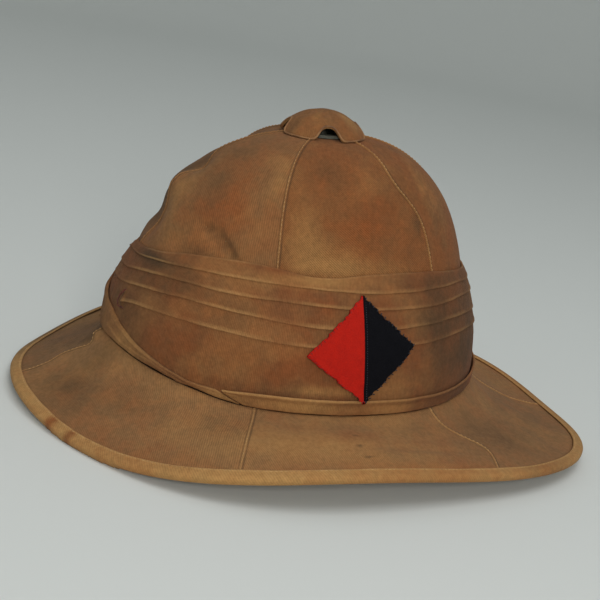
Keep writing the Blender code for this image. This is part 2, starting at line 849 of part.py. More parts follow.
def notch_rise(azimuth):
    """How high the cap's edge is cut away at an azimuth: four arches with flared feet."""
    turn = 360 / NOTCH_COUNT
    off = abs((azimuth - NOTCH_AZIMUTH + turn / 2) % turn - turn / 2) / NOTCH_HALF_ANGLE
    return NOTCH_HEIGHT * (1 - smooth(off)) ** NOTCH_ROUNDING


def add_cap(parent):
    """A low cloth-covered dome whose edge is cut by four arched notches."""
    mesh = bpy.data.meshes.new("vent_cap")
    cage = bmesh.new()
    rings = [[] for _ in range(CAP_ROWS)]
    for notch in range(NOTCH_COUNT):
        for offset in CAP_COLUMNS:
            azimuth = NOTCH_AZIMUTH + notch * 360 / NOTCH_COUNT + offset
            base = level_at(azimuth, CAP_RADIUS) + CAP_CLEARANCE
            rise = CAP_CREST - base
            edge = math.asin((notch_rise(azimuth) / rise) ** (1 / CAP_PROFILE))
            for row, ring in enumerate(rings):
                angle = edge + (math.pi / 2 - edge) * row / CAP_ROWS
                radius = CAP_RADIUS * math.cos(angle)
                point = (
                    radius * math.sin(math.radians(azimuth)) * MM,
                    -radius * math.cos(math.radians(azimuth)) * MM,
                    (base + rise * math.sin(angle) ** CAP_PROFILE) * MM,
                )
                ring.append(cage.verts.new(point))
    crest = cage.verts.new((0, 0, CAP_CREST * MM))
    around = len(rings[0])
    for index in range(around):
        after = (index + 1) % around
        for low, high in zip(rings, rings[1:]):
            cage.faces.new((low[index], low[after], high[after], high[index]))
        cage.faces.new((rings[-1][index], rings[-1][after], crest))
    cage.to_mesh(mesh)
    cage.free()
    mesh.materials.append(MATERIALS["crown_cloth"])
    mesh.shade_smooth()
    cap = bpy.data.objects.new("vent_cap", mesh)
    COLLECTION.objects.link(cap)
    cap.parent = parent
    cap.location.y = CROWN_CENTRE_TOP * MM
    thicken(cap, CAP_WALL, -1)
    return cap


def build():
    stand = bpy.data.objects.new("helmet_at_rest", None)
    COLLECTION.objects.link(stand)
    sections = [binding_section(azimuth) for azimuth in all_columns()]
    lean, move = settle(sections)
    stand.rotation_euler.x = lean
    stand.location = move * MM
    add_hull(stand)
    for gore in range(len(SEAMS)):
        add_crown_gore(gore, stand)
        add_brim_piece(gore, stand)
    add_wrap(stand)
    add_band(stand)
    add_tail(stand)
    add_patch_half("patch_red", "front", "red_felt", stand)
    add_patch_half("patch_black", "rear", "black_felt", stand)
    add_binding(sections, lean, move, stand)
    add_collar(stand)
    add_cap(stand)
    print(f"leans forward {math.degrees(lean):.2f} degrees, moved {move.y:.2f}, {move.z:.2f} mm")


for old in list(bpy.data.objects):
    bpy.data.objects.remove(old)
COLLECTION = bpy.data.collections.new("sun_helmet")
HELPERS = bpy.data.collections.new("sun_helmet_helpers")
bpy.context.scene.collection.children.link(COLLECTION)
bpy.context.scene.collection.children.link(HELPERS)
MATERIALS = {name: make_material(name) for name in FINISHES}
build()
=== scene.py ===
# %% [markdown]
# # A six-gore cloth sun helmet
# This notebook dresses a finished solid model of a sun helmet. The model gives the size, the place and
# the weight of each piece. Here each piece gets its cloth, its stitches, its folds and its years of wear.
# Every length below is in millimetres, in the helmet's own upright frame, until a mesh is made.

# %% Load the frame
import math

import bpy
import numpy as np
from mathutils import Matrix, Vector


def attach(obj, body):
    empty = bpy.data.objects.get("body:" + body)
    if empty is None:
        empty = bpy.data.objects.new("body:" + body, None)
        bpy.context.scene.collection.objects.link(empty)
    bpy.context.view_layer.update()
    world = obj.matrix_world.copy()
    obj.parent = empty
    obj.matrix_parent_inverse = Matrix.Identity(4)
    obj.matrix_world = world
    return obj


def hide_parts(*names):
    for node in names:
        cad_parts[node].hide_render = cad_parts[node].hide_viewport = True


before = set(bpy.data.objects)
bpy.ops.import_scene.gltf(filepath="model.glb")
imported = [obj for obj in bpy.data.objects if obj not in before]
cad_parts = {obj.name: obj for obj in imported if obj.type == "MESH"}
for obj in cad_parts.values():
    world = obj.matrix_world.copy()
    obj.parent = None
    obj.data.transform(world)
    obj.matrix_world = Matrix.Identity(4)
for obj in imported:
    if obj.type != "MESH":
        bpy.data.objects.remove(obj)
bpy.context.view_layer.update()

print("pieces in the frame:", len(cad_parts))

# %% [markdown]
# ## How the helmet stands
# The real helmet is drawn upright, as it is worn, and then it leans a little onto the front of its rim
# when it is put down. One rotation and one move take every point from the upright frame to the floor.

# %% Lean and move
MM = 0.001
LEAN = math.radians(3.8957)
MOVE = np.array((0.0, -9.659, 23.232))
LEAN_MATRIX = np.array(
    (
        (1.0, 0.0, 0.0),
        (0.0, math.cos(LEAN), -math.sin(LEAN)),
        (0.0, math.sin(LEAN), math.cos(LEAN)),
    )
)


def at_rest(points):
    """Upright points in millimetres, as points on the floor in metres."""
    return (points @ LEAN_MATRIX.T + MOVE) * MM


print("the crown leans", round(math.degrees(LEAN), 1), "degrees forward")

# %% [markdown]
# ## Camera
# The camera looks at the wearer's left side from a little in front and above. Its place is written as
# an angle round the helmet, an angle above it, a roll and a distance, and then leans with the helmet.

# %% Camera
VIEW_AZIMUTH = math.radians(70.28)
VIEW_ELEVATION = math.radians(17.96)
VIEW_ROLL = math.radians(6.58)
VIEW_DISTANCE = 738.08
VIEW_TARGET = np.array((0.0, 1.14, 42.72))
SENSOR_WIDTH = 36.0
LENS = 72.52


def add_object(name, data):
    """A new object in the scene, at the origin."""
    obj = bpy.data.objects.new(name, data)
    bpy.context.scene.collection.objects.link(obj)
    return obj


def add_camera():
    level = math.cos(VIEW_ELEVATION)
    back = np.array(
        (math.sin(VIEW_AZIMUTH) * level, -math.cos(VIEW_AZIMUTH) * level, math.sin(VIEW_ELEVATION))
    )
    flat_right = np.array((math.cos(VIEW_AZIMUTH), math.sin(VIEW_AZIMUTH), 0.0))
    flat_up = np.cross(back, flat_right)
    right = flat_right * math.cos(VIEW_ROLL) + flat_up * math.sin(VIEW_ROLL)
    up = flat_up * math.cos(VIEW_ROLL) - flat_right * math.sin(VIEW_ROLL)
    turn = np.stack([LEAN_MATRIX @ right, LEAN_MATRIX @ up, LEAN_MATRIX @ back], axis=1)
    place = at_rest(VIEW_TARGET + back * VIEW_DISTANCE)
    data = bpy.data.cameras.new("photo_camera")
    data.lens = LENS
    data.sensor_width = SENSOR_WIDTH
    data.clip_start = 0.01
    camera = add_object("photo_camera", data)
    camera.matrix_world = Matrix.Translation(place) @ Matrix(turn.tolist()).to_4x4()
    bpy.context.scene.camera = camera
    return camera


camera = add_camera()
print("camera at", [round(value, 3) for value in camera.matrix_world.translation])

# %% [markdown]
# ## Floor and light
# A pale floor runs up into a pale wall in one soft curve all round, so no horizon crosses the picture. A
# lamp beside the camera lights the cloth from the front, and weaker ones open the shadows.

# %% Floor
FLOOR_COLOUR = (0.71, 0.735, 0.715)
FLOOR_REACH = 2.2
FLOOR_CURVE = 1.0
FLOOR_TOP = 2.6
FLOOR_DEPTH = -0.0005
FLOOR_SIDES = 96
FLOOR_STEPS = 12


def new_material(name):
    """A material with nodes, its tree and its shader."""
    material = bpy.data.materials.new(name)
    material.use_nodes = True
    return material, material.node_tree, material.node_tree.nodes["Principled BSDF"]


def set_plain(shader, values):
    """Sets the sockets whose value is the same all over the surface."""
    for label, value in values.items():
        shader.inputs[label].default_value = value


def add_floor():
    turns = [math.pi / 2 * step / FLOOR_STEPS for step in range(1, FLOOR_STEPS + 1)]
    profile = [(FLOOR_REACH, 0.0)]
    profile += [
        (FLOOR_REACH + FLOOR_CURVE * math.sin(turn), FLOOR_CURVE * (1 - math.cos(turn)))
        for turn in turns
    ]
    profile.append((FLOOR_REACH + FLOOR_CURVE, FLOOR_TOP))
    count = len(profile)
    points = [(0.0, 0.0, FLOOR_DEPTH)]
    faces = []
    for side in range(FLOOR_SIDES):
        angle = 2 * math.pi * side / FLOOR_SIDES
        points += [(r * math.cos(angle), r * math.sin(angle), z + FLOOR_DEPTH) for r, z in profile]
        here, after = 1 + side * count, 1 + (side + 1) % FLOOR_SIDES * count
        faces.append((0, here, after))
        faces += [(here + k, here + k + 1, after + k + 1, after + k) for k in range(count - 1)]
    mesh = bpy.data.meshes.new("floor")
    mesh.from_pydata(points, [], faces)
    mesh.shade_smooth()
    material, _, shader = new_material("floor")
    set_plain(shader, {"Base Color": (*FLOOR_COLOUR, 1.0), "Roughness": 0.9})
    mesh.materials.append(material)
    add_object("floor", mesh)


add_floor()
print("floor reaches", FLOOR_REACH + FLOOR_CURVE, "m")

# %% Light
LAMPS = (
    # name, place in metres, watts, width in metres, colour
    ("key", (1.55, -0.30, 0.70), 11.2, 0.45, (1.0, 0.98, 0.95)),
    ("top", (0.5, 0.1, 1.6), 7.0, 1.0, (0.97, 0.99, 1.0)),
    ("front", (0.3, -1.7, 0.5), 1.5, 0.9, (1.0, 0.98, 0.95)),
)
AIM = Vector((0.0, 0.0, 0.08))
SKY = (0.64, 0.66, 0.66)
SKY_STRENGTH = 0.58


def add_lamps():
    for name, place, watts, width, colour in LAMPS:
        data = bpy.data.lights.new(name, "AREA")
        data.energy = watts
        data.size = width
        data.color = colour
        lamp = add_object(name, data)
        lamp.location = place
        lamp.rotation_euler = (AIM - Vector(place)).to_track_quat("-Z", "Y").to_euler()


def add_sky():
    world = bpy.data.worlds.new("studio")
    world.use_nodes = True
    sky = world.node_tree.nodes["Background"]
    set_plain(sky, {"Color": (*SKY, 1.0), "Strength": SKY_STRENGTH})
    bpy.context.scene.world = world


add_lamps()
add_sky()
bpy.context.scene.view_settings.view_transform = "Standard"
print("lamps:", [lamp[0] for lamp in LAMPS])

# %% [markdown]
# ## The helmet's form
# The crown is an oval dome. A plain ellipsoid would look too pointed, so its outline is a superellipse:
# a higher power makes a squarer shoulder. The lines round the helmet, such as the rim's height, are short
# sums of cosines of the azimuth. Azimuth 0 is the front and 90 is the wearer's left.

# %% Sizes of the form
CROWN_HALF_LENGTH = 106.5
CROWN_HALF_WIDTH = 85.3
CROWN_HEIGHT = 146.8
CREST_LEVEL = 0.9999
MEAN_RADIUS = 96.0
ROUNDING_STEPS = 9
FULLNESS = {"front": 2.62, "rear": 2.60, "side": 2.13, "side_top": 2.88}
SHOULDER_LEVEL = 0.45
CROWN_CENTRE_LOW = -2.2
CROWN_CENTRE_TOP = 2.8
VENT_RADIUS = 17.5
DOME_SPREAD = math.radians(78.0)
BASE_LINE = (10.7, 7.9, 3.8, 0.7, 1.15)
RIM_HEIGHT = (-14.7, 11.0, -6.95, 1.5, 2.5, 1.75)
RIM_SWELL = (0.016, -0.005, 0.0, -0.0135, -0.016, 0.019)
RIM_REACH = {"front": 169.7, "rear": 186.4, "side": 147.8}
BRIM_ARCH = (-0.1, 0.5, -5.25)
BRIM_COVE = (7.1, -2.2)
BRIM_LIFT = 1.2
COVE_LENGTH = 0.12
WRAP_AT_FOOT = 9.0
WRAP_AT_TOP = 1.6
WRAP_BELLY = 2.3
FOOT_CLEARANCE = 0.4


def waves(series, azimuth):
    """A cosine series in the azimuth, which is in degrees."""
    angle = np.radians(azimuth)
    return sum(amount * np.cos(order * angle) for order, amount in enumerate(series))


def signed(azimuth):
    """An azimuth in degrees, brought between -180 and 180."""
    return np.mod(azimuth + 180, 360) - 180


def smooth(value):
    """A soft step from 0 to 1."""
    value = np.clip(value, 0.0, 1.0)
    return value * value * (3 - 2 * value)


def ramp(value, start, run):
    """0 up to a start, and then a soft rise to 1 over a run."""
    return smooth((value - start) / run)


def rounded(table, column, value, reach):
    """A table's value at a place, with its corners rounded over a reach."""
    places = np.linspace(-reach, reach, ROUNDING_STEPS)
    values = (np.interp(value + place, table[:, 0], table[:, column]) for place in places)
    return sum(values) / len(places)


def unit(vectors):
    return vectors / np.maximum(np.linalg.norm(vectors, axis=-1, keepdims=True), 1e-9)


print("the rim reaches", RIM_REACH, "mm")

# %% Crown surface


def crown_share(azimuth, height):
    """The crown's radius at a height, as a share of its radius at the base."""
    ahead = np.cos(np.radians(azimuth))
    end = np.where(ahead > 0, FULLNESS["front"], FULLNESS["rear"])
    level = np.clip(height / CROWN_HEIGHT, 0.0, CREST_LEVEL)
    shoulder = ramp(level, SHOULDER_LEVEL, 1 - SHOULDER_LEVEL)
    side = FULLNESS["side"] + (FULLNESS["side_top"] - FULLNESS["side"]) * shoulder
    power = side + (end - side) * ahead * ahead
    return (1 - level**power) ** (1 / power)


def crown_at(azimuth, height, stand=0.0):
    """Points beside the smooth crown, a level distance outside it."""
    angle = np.radians(azimuth)
    share = crown_share(azimuth, height)
    level = np.maximum(height, 0.0) / CROWN_HEIGHT
    centre = CROWN_CENTRE_LOW + (CROWN_CENTRE_TOP - CROWN_CENTRE_LOW) * level**2
    across = (CROWN_HALF_WIDTH * share + stand) * np.sin(angle)
    along = centre - (CROWN_HALF_LENGTH * share + stand) * np.cos(angle)
    return np.stack(np.broadcast_arrays(across, along, height), axis=-1)


HALVINGS = 40


def level_at(azimuth, radius):
    """The height where the crown is as narrow as a given radius, found by halving."""
    angle = np.radians(azimuth)
    reach = np.hypot(CROWN_HALF_WIDTH * np.sin(angle), CROWN_HALF_LENGTH * np.cos(angle))
    low = np.full_like(reach, CROWN_HEIGHT / 2)
    high = np.full_like(reach, CROWN_HEIGHT * CREST_LEVEL)
    for _ in range(HALVINGS):
        middle = (low + high) / 2
        wide = crown_share(azimuth, middle) * reach > radius
        low = np.where(wide, middle, low)
        high = np.where(wide, high, middle)
    return low


print("crown", 2 * CROWN_HALF_LENGTH, "by", 2 * CROWN_HALF_WIDTH, "by", CROWN_HEIGHT, "mm")

# %% [markdown]
# ## The wrap's lines
# The wrap is one long cloth, folded into pleats and wound round the crown. The table gives the height
# of its top edge and of its four pleat edges every twenty degrees, and a smooth spline runs between. On
# the wearer's right, towards the front, the whole wrap sits lower.

# %% Lines of the wrap
WRAP_LINES = np.array(
    (
        # top edge, pleat 1, pleat 2, pleat 3, pleat 4; one row for each 20 degrees from the front
        (77.5, 73.0, 64.5, 57.0, 44.8),
        (80.5, 76.0, 69.0, 60.5, 50.6),
        (85.2, 77.6, 70.3, 62.0, 51.3),
        (85.2, 77.4, 69.2, 60.0, 49.0),
        (81.1, 75.7, 67.4, 56.4, 45.7),
        (82.5, 73.8, 65.0, 54.6, 45.6),
        (81.9, 73.1, 64.0, 54.7, 45.0),
        (79.0, 72.0, 64.2, 54.0, 44.8),
        (75.0, 69.0, 61.3, 50.0, 41.5),
        (73.5, 67.5, 60.0, 48.5, 40.0),
    )
)
RIGHT_DROP = 0.15
DROP_STARTS, DROP_ENDS = (2, 18), (80, 50)


def wrap_line(column, azimuth):
    """Height of a wrap edge: column 0 is the top edge, and 1 to 4 are the pleats."""
    right = np.mod(-azimuth, 360)
    drop = RIGHT_DROP * ramp(right, *DROP_STARTS) * (1 - ramp(right, *DROP_ENDS))
    turned = np.mod(azimuth, 360)
    last = len(WRAP_LINES) - 1
    place = np.minimum(turned, 360 - turned) / 180 * last
    index = np.minimum(place.astype(int), last - 1)
    part = place - index
    values = WRAP_LINES[:, column]
    before, low = values[np.abs(index - 1)], values[index]
    high, after = values[index + 1], values[last - np.abs(last - index - 2)]
    bend = 2 * before - 5 * low + 4 * high - after
    twist = 3 * (low - high) + after - before
    height = low + 0.5 * part * (high - before + part * (bend + part * twist))
    return height - drop * (height - waves(BASE_LINE, azimuth))


def crown_height(azimuth, rise):
    """Rise 0 is the base line, 1 the wrap's top edge and 2 the vent opening."""
    foot, top = waves(BASE_LINE, azimuth), wrap_line(0, azimuth)
    climb = level_at(azimuth, VENT_RADIUS) - top
    dome = top + climb * np.sin((rise - 1) * DOME_SPREAD) / math.sin(DOME_SPREAD)
    return np.where(rise <= 1, foot + (top - foot) * rise, dome)


def wrap_point(azimuth, height, over=0.0):
    """A point on the wrap's plain face, or a distance outside it."""
    foot, top = waves(BASE_LINE, azimuth), wrap_line(0, azimuth)
    share = (height - foot) / (top - foot)
    stand = WRAP_AT_FOOT + (WRAP_AT_TOP - WRAP_AT_FOOT) * share + 4 * share * (1 - share) * WRAP_BELLY
    return crown_at(azimuth, height, stand + over)


print("wrap top at the left side:", round(float(wrap_line(0, np.array(90.0))), 1), "mm")

# %% [markdown]
# ## The brim
# The brim is a ruled surface from the wrap's foot to the rim, bent up by a small arch and hollowed by a
# cove near the crown. It was sewn over the same moulded hull, so it is smooth, with a few soft creases.

# %% Brim surface
BRIM_TURN = 0.4
BRIM_STEP = 0.008


def rim_point(azimuth):
    angle = np.radians(azimuth)
    reach = np.where(np.cos(angle) > 0, RIM_REACH["front"], RIM_REACH["rear"])
    swell = 1 + waves(RIM_SWELL, azimuth)
    return np.stack(
        (
            RIM_REACH["side"] * swell * np.sin(angle),
            -reach * swell * np.cos(angle),
            waves(RIM_HEIGHT, azimuth),
        ),
        axis=-1,
    )


def brim_start(azimuth):
    foot = waves(BASE_LINE, azimuth)
    point = crown_at(azimuth, foot, WRAP_AT_FOOT)
    point[..., 2] -= FOOT_CLEARANCE
    return point


def brim_skin(azimuth, inward):
    """The brim cloth's upper face: inward is 0 at the rim and 1 at the wrap's foot."""
    azimuth, inward = np.broadcast_arrays(azimuth, inward)
    reach = 1 - inward
    start = brim_start(azimuth)
    point = start + (rim_point(azimuth) - start) * reach[..., None]
    open_reach = np.maximum(reach, 0.0)
    arch = 4 * open_reach * (1 - open_reach) * waves(BRIM_ARCH, azimuth)
    cove = waves(BRIM_COVE, azimuth) * ((1 - open_reach) - np.exp(-open_reach / COVE_LENGTH))
    point[..., 2] += arch - cove + BRIM_LIFT * smooth(2 * open_reach)
    return point


def brim_length(azimuth):
    return np.linalg.norm((rim_point(azimuth) - brim_start(azimuth))[..., :2], axis=-1)


def brim_over(azimuth, inward, over):
    """Points a distance over the brim cloth, or under it where over is negative."""
    azimuth, inward, over = np.broadcast_arrays(azimuth, inward, over)
    across = brim_skin(azimuth + BRIM_TURN, inward) - brim_skin(azimuth - BRIM_TURN, inward)
    along = brim_skin(azimuth, inward + BRIM_STEP) - brim_skin(azimuth, inward - BRIM_STEP)
    return brim_skin(azimuth, inward) + unit(np.cross(across, along)) * over[..., None]


print("brim is", round(float(brim_length(np.array(0.0)))), "mm deep in front")

# %% [markdown]
# ## Seams and panels
# Six gores meet on six seams. Each row gives the seam on the crown, how far it drifts to the front on
# the way up, how far it bows at the shoulder, the seam on the brim below it, and which neighbour laps
# over the other: the one before the seam (-1) or the one after it (1).

# %% Seam table
SEAMS = (
    # crown azimuth, crown drift, crown bow, brim azimuth, lap
    (-0.7, 0.0, 0.0, -2.4, 1),
    (64.3, -9.0, 0.0, 66.1, 1),
    (125.4, -10.1, -8.0, 121.1, 1),
    (180.0, 0.0, 0.0, 180.0, 1),
    (234.6, 10.1, 8.0, 238.9, -1),
    (295.7, 9.0, 0.0, 293.9, 1),
)
BOW_LEVEL, BOW_REACH = 0.90, 0.11
PANELS = ("left_front", "left_side", "left_rear", "right_rear", "right_side", "right_front")


def seam_azimuth(index, rise):
    """Azimuth of a seam at a rise: the brim's seams below, eased into the crown's under the wrap."""
    crown, drift, bow, brim, _ = SEAMS[index % len(SEAMS)]
    level = crown_height(np.full_like(rise, crown), rise) / CROWN_HEIGHT
    bowed = bow * np.exp(-(((level - BOW_LEVEL) / BOW_REACH) ** 2))
    climbing = crown + drift * (level**2 - 0.5) + bowed
    return brim + (climbing - brim) * smooth(rise) + 360 * (index // len(SEAMS))


print("panels:", ", ".join(PANELS))

# %% [markdown]
# ## Irregular waves
# Old cloth is never quite flat. A handful of sine waves in different directions add up to a smooth
# irregular swell. The seed fixes their directions, so the script makes the same cloth every time.

# %% Irregular waves
SINES = 7
SINE_LENGTHS = (0.7, 1.7)
SWELL_SCALE, RING_SCALE = 3.2, 1.5


def swell(across, along, size, seed):
    """Smooth irregular waves over two coordinates, mostly from -1 to 1, about size long."""
    chance = np.random.default_rng(seed)
    total = 0.0
    for _ in range(SINES):
        angle, phase = chance.uniform(0, 2 * math.pi, 2)
        length = size * chance.uniform(*SINE_LENGTHS)
        total = total + np.sin(
            2 * math.pi * (across * math.cos(angle) + along * math.sin(angle)) / length + phase
        )
    return total / SWELL_SCALE


def ring_swell(azimuth, height, size, seed):
    """The same waves on the crown: they join up round the helmet."""
    across = MEAN_RADIUS * np.sin(np.radians(azimuth))
    along = -MEAN_RADIUS * np.cos(np.radians(azimuth))
    return (swell(across, height, size, seed) + swell(along, height, size, seed + 50)) / RING_SCALE


def swells(table, azimuth, level, more=0):
    """Waves of several sizes added up: a row is height, size and seed, and more is added to the seed."""
    return sum(amount * ring_swell(azimuth, level, size, seed + more) for amount, size, seed in table)


def hollow(across, along, half_length, half_width, turn):
    """A soft hollow, long across its turn: 1 in the middle and 0 far away."""
    cosine, sine = math.cos(math.radians(turn)), math.sin(math.radians(turn))
    far = (across * cosine + along * sine) / half_length
    off = (along * cosine - across * sine) / half_width
    return np.exp(-far * far - off * off)


print("a wave's height:", round(float(swell(np.array(10.0), np.array(5.0), 38.0, 3)), 2))

# %% [markdown]
# ## From a grid of points to cloth
# Nearly every piece here is a grid of points. A sheet gets a second face a cloth's thickness below it
# and a rounded edge between the two, so it is a closed solid like real cloth with its edge turned. Its UV
# map is in metres along the cloth, so a weave keeps its true size and follows every fold.

# %% Mesh helpers


def grid_normals(points, closed=False):
    """Unit normals of a grid of points, from its columns and rows."""
    if closed:
        across = np.roll(points, -1, axis=0) - np.roll(points, 1, axis=0)
    else:
        across = np.gradient(points, axis=0)
    along = np.gradient(points, axis=1)
    return unit(np.cross(across, along))


def cloth_uv(points, closed=False):
    """UV in metres: u runs along the columns from the middle one, v up the middle column."""
    ring = np.concatenate([points, points[:1]]) if closed else points
    steps = np.linalg.norm(np.diff(ring, axis=0), axis=-1)
    across = np.concatenate([np.zeros_like(steps[:1]), np.cumsum(steps, axis=0)])
    if closed:
        across = np.repeat(across[:, across.shape[1] // 2][:, None], across.shape[1], axis=1)
    middle = len(ring) // 2
    across = across - across[middle]
    rises = np.linalg.norm(np.diff(ring[middle], axis=0), axis=-1)
    along = np.concatenate([[0.0], np.cumsum(rises)])
    return np.stack([across, np.broadcast_to(along, across.shape)], axis=-1) * MM


def corners(grid):
    """The four corners of each cell of a grid, counter-clockwise seen from outside."""
    cells = np.stack([grid[:-1, :-1], grid[1:, :-1], grid[1:, 1:], grid[:-1, 1:]], axis=2)
    return cells.reshape(-1, 4, *grid.shape[2:])


print("a grid of 3 by 3 points has", len(corners(np.zeros((3, 3)))), "cells")

# %% Sheets and rings of cloth
FLAT_SIZES = {}
MARKS = ("fade_and_light", "rust", "soil_and_shade", "wear_and_shine")


def mesh_object(name, points, faces, uv, marks, material):
    mesh = bpy.data.meshes.new(name)
    mesh.from_pydata(at_rest(points).tolist(), [], faces.tolist())
    layer = mesh.uv_layers.new(name="cloth")
    layer.data.foreach_set("uv", uv.astype(np.float32).ravel())
    for mark, values in marks.items():
        attribute = mesh.attributes.new(mark, "FLOAT", "POINT")
        attribute.data.foreach_set("value", values.astype(np.float32).ravel())
    mesh.materials.append(material)
    mesh.shade_smooth()
    return add_object(name, mesh)


def padded_edges(points, thickness, closed):
    """The grid with a border added: half a thickness out and half a thickness in, the turned edge."""
    half = np.broadcast_to(thickness, points.shape[:2])[..., None] / 2
    down = grid_normals(points, closed) * half

    def past(edge, inner, reach, drop):
        return edge + unit(edge - inner) * reach - drop

    first = past(points[:, 0], points[:, 1], half[:, 0], down[:, 0])
    last = past(points[:, -1], points[:, -2], half[:, -1], down[:, -1])
    wide = np.concatenate([first[:, None], points, last[:, None]], axis=1)
    if closed:
        return wide
    start = past(wide[0], wide[1], half[0, 0], 0)
    end = past(wide[-1], wide[-2], half[-1, 0], 0)
    start[1:-1] -= down[0]
    end[1:-1] -= down[-1]
    return np.concatenate([start[None], wide, end[None]], axis=0)


def flat_size(points, closed):
    """A grid laid flat, in metres: its widest row, its longest column and its area."""
    ring = np.concatenate([points, points[:1]]) if closed else points
    across, along = np.diff(ring, axis=0), np.diff(ring, axis=1)
    width = np.linalg.norm(across, axis=-1).sum(axis=0).max() * MM
    length = np.linalg.norm(along, axis=-1).sum(axis=1).max() * MM
    area = np.linalg.norm(np.cross(across[:, :-1], along[:-1]), axis=-1).sum() * MM * MM
    return float(width), float(length), float(area)


def sheet_object(name, points, thickness, material, marks=None, closed=False):
    """A cloth solid: the grid is its outer face, the inner face lies a thickness below."""
    outer = padded_edges(points, thickness, closed)
    FLAT_SIZES[name] = flat_size(outer, closed)
    depth = np.broadcast_to(thickness, points.shape[:2])[..., None]
    inner = points - grid_normals(points, closed) * depth
    columns, rows = outer.shape[:2]
    top = np.arange(columns * rows).reshape(columns, rows)
    under = top.copy()
    fill = (slice(None), slice(1, -1)) if closed else (slice(1, -1), slice(1, -1))
    under[fill] = columns * rows + np.arange(inner.shape[0] * inner.shape[1]).reshape(inner.shape[:2])
    uv = cloth_uv(outer, closed)
    if closed:
        top = np.concatenate([top, top[:1]])
        under = np.concatenate([under, under[:1]])
    faces = np.concatenate([corners(top), corners(under)[:, ::-1]])
    places = np.concatenate([corners(uv), corners(uv)[:, ::-1]])
    vertices = np.concatenate([outer.reshape(-1, 3), inner.reshape(-1, 3)])
    pad = ((0, 0), (1, 1)) if closed else ((1, 1), (1, 1))
    spread = {
        mark: np.concatenate([np.pad(values, pad, mode="edge").ravel(), values.ravel()])
        for mark, values in (marks or {}).items()
    }
    return mesh_object(name, vertices, faces, places, spread, material)


def loop_object(name, sections, material, marks=None, face=None):
    """A closed ring of closed sections. Its first rows are the cloth's outer face."""
    FLAT_SIZES[name] = flat_size(sections[:, :face], closed=True)
    columns, rows = sections.shape[:2]
    index = np.arange(columns * rows).reshape(columns, rows)
    index = np.concatenate([index, index[:1]])
    index = np.concatenate([index, index[:, :1]], axis=1)
    uv = cloth_uv(np.concatenate([sections, sections[:, :1]], axis=1), closed=True)
    spread = {mark: values.ravel() for mark, values in (marks or {}).items()}
    return mesh_object(name, sections.reshape(-1, 3), corners(index), corners(uv), spread, material)


print("marks on each point:", ", ".join(MARKS))

# %% [markdown]
# ## Marks of age
# The sun bleached this helmet, rain drew rusty tints into it, and hands soiled and rubbed it. Four
# numbers on every point say how much: fade, rust, soil and wear. Fade also carries painted light, soil
# painted shade, and wear painted highlights on edges. Each row of a table is one soft patch of the first
# three, and wear comes with the folds and seams. The shader mixes all four with fine mottling of its own.

# %% Tables of patches
CROWN_MARKS = (
    # azimuth, height, half width, half height, fade, rust, soil and painted shade
    (84, 86, 24, 5, 0.45, -0.1, 0.0),
    (80, 93, 17, 9, 0.45, -0.1, 0.0),
    (74, 103, 12, 16, 0.45, -0.1, 0.0),
    (99, 112, 18, 17, 0.0, 0.7, 0.15),
    (80, 134, 16, 8, -0.1, 0.25, 0.35),
    (36, 112, 20, 22, -0.1, 0.7, 0.1),
    (28, 122, 9, 6, 0.15, -0.3, 0.3),
    (22, 95, 9, 9, 0.1, 0.1, 0.15),
    (35, 88, 16, 5, 0.0, 0.5, 0.25),
    (20, 133, 20, 8, 0.1, -0.1, 0.4),
    (8, 115, 7, 16, 0.15, -0.2, 0.1),
    (58, 125, 5, 20, 0.25, 0.2, 0.0),
    (122, 107, 4, 7, 0.0, -0.1, 0.8),
    (117, 94, 5, 7, 0.0, 0.0, 0.5),
    # painted shade along the crease on the left front
    (36, 98.5, 9, 2.2, 0.0, 0.0, 0.5),
    (42, 95.5, 5, 2.5, 0.0, 0.0, 0.5),
    (46, 91.5, 4, 3, 0.0, 0.0, 0.5),
    (50, 87.5, 3.5, 3, 0.0, 0.0, 0.45),
    (30, 104, 22, 8, 0.0, 0.0, 0.25),
    # painted shade: the far side of the front seam, turned from the light
    (-9, 115, 9, 40, 0.0, -0.5, 0.6),
    (112, 122, 10, 12, 0.0, 0.1, 0.35),
    (140, 100, 12, 26, 0.25, 0.1, 0.2),
    (135, 122, 10, 14, 0.3, 0.35, 0.0),
    (37, 83, 14, 5, 0.0, 0.0, 0.55),
    (47, 103, 9, 8, 0.0, 0.5, -0.1),
    (137, 110, 9, 12, -0.1, 0.1, 0.2),
    # painted shade on the right front, turned from the light
    (-22, 105, 20, 34, 0.0, -0.3, 0.35),
    (200, 110, 40, 20, 0.3, 0.3, 0.1),
    (260, 95, 30, 18, 0.4, 0.4, 0.1),
)
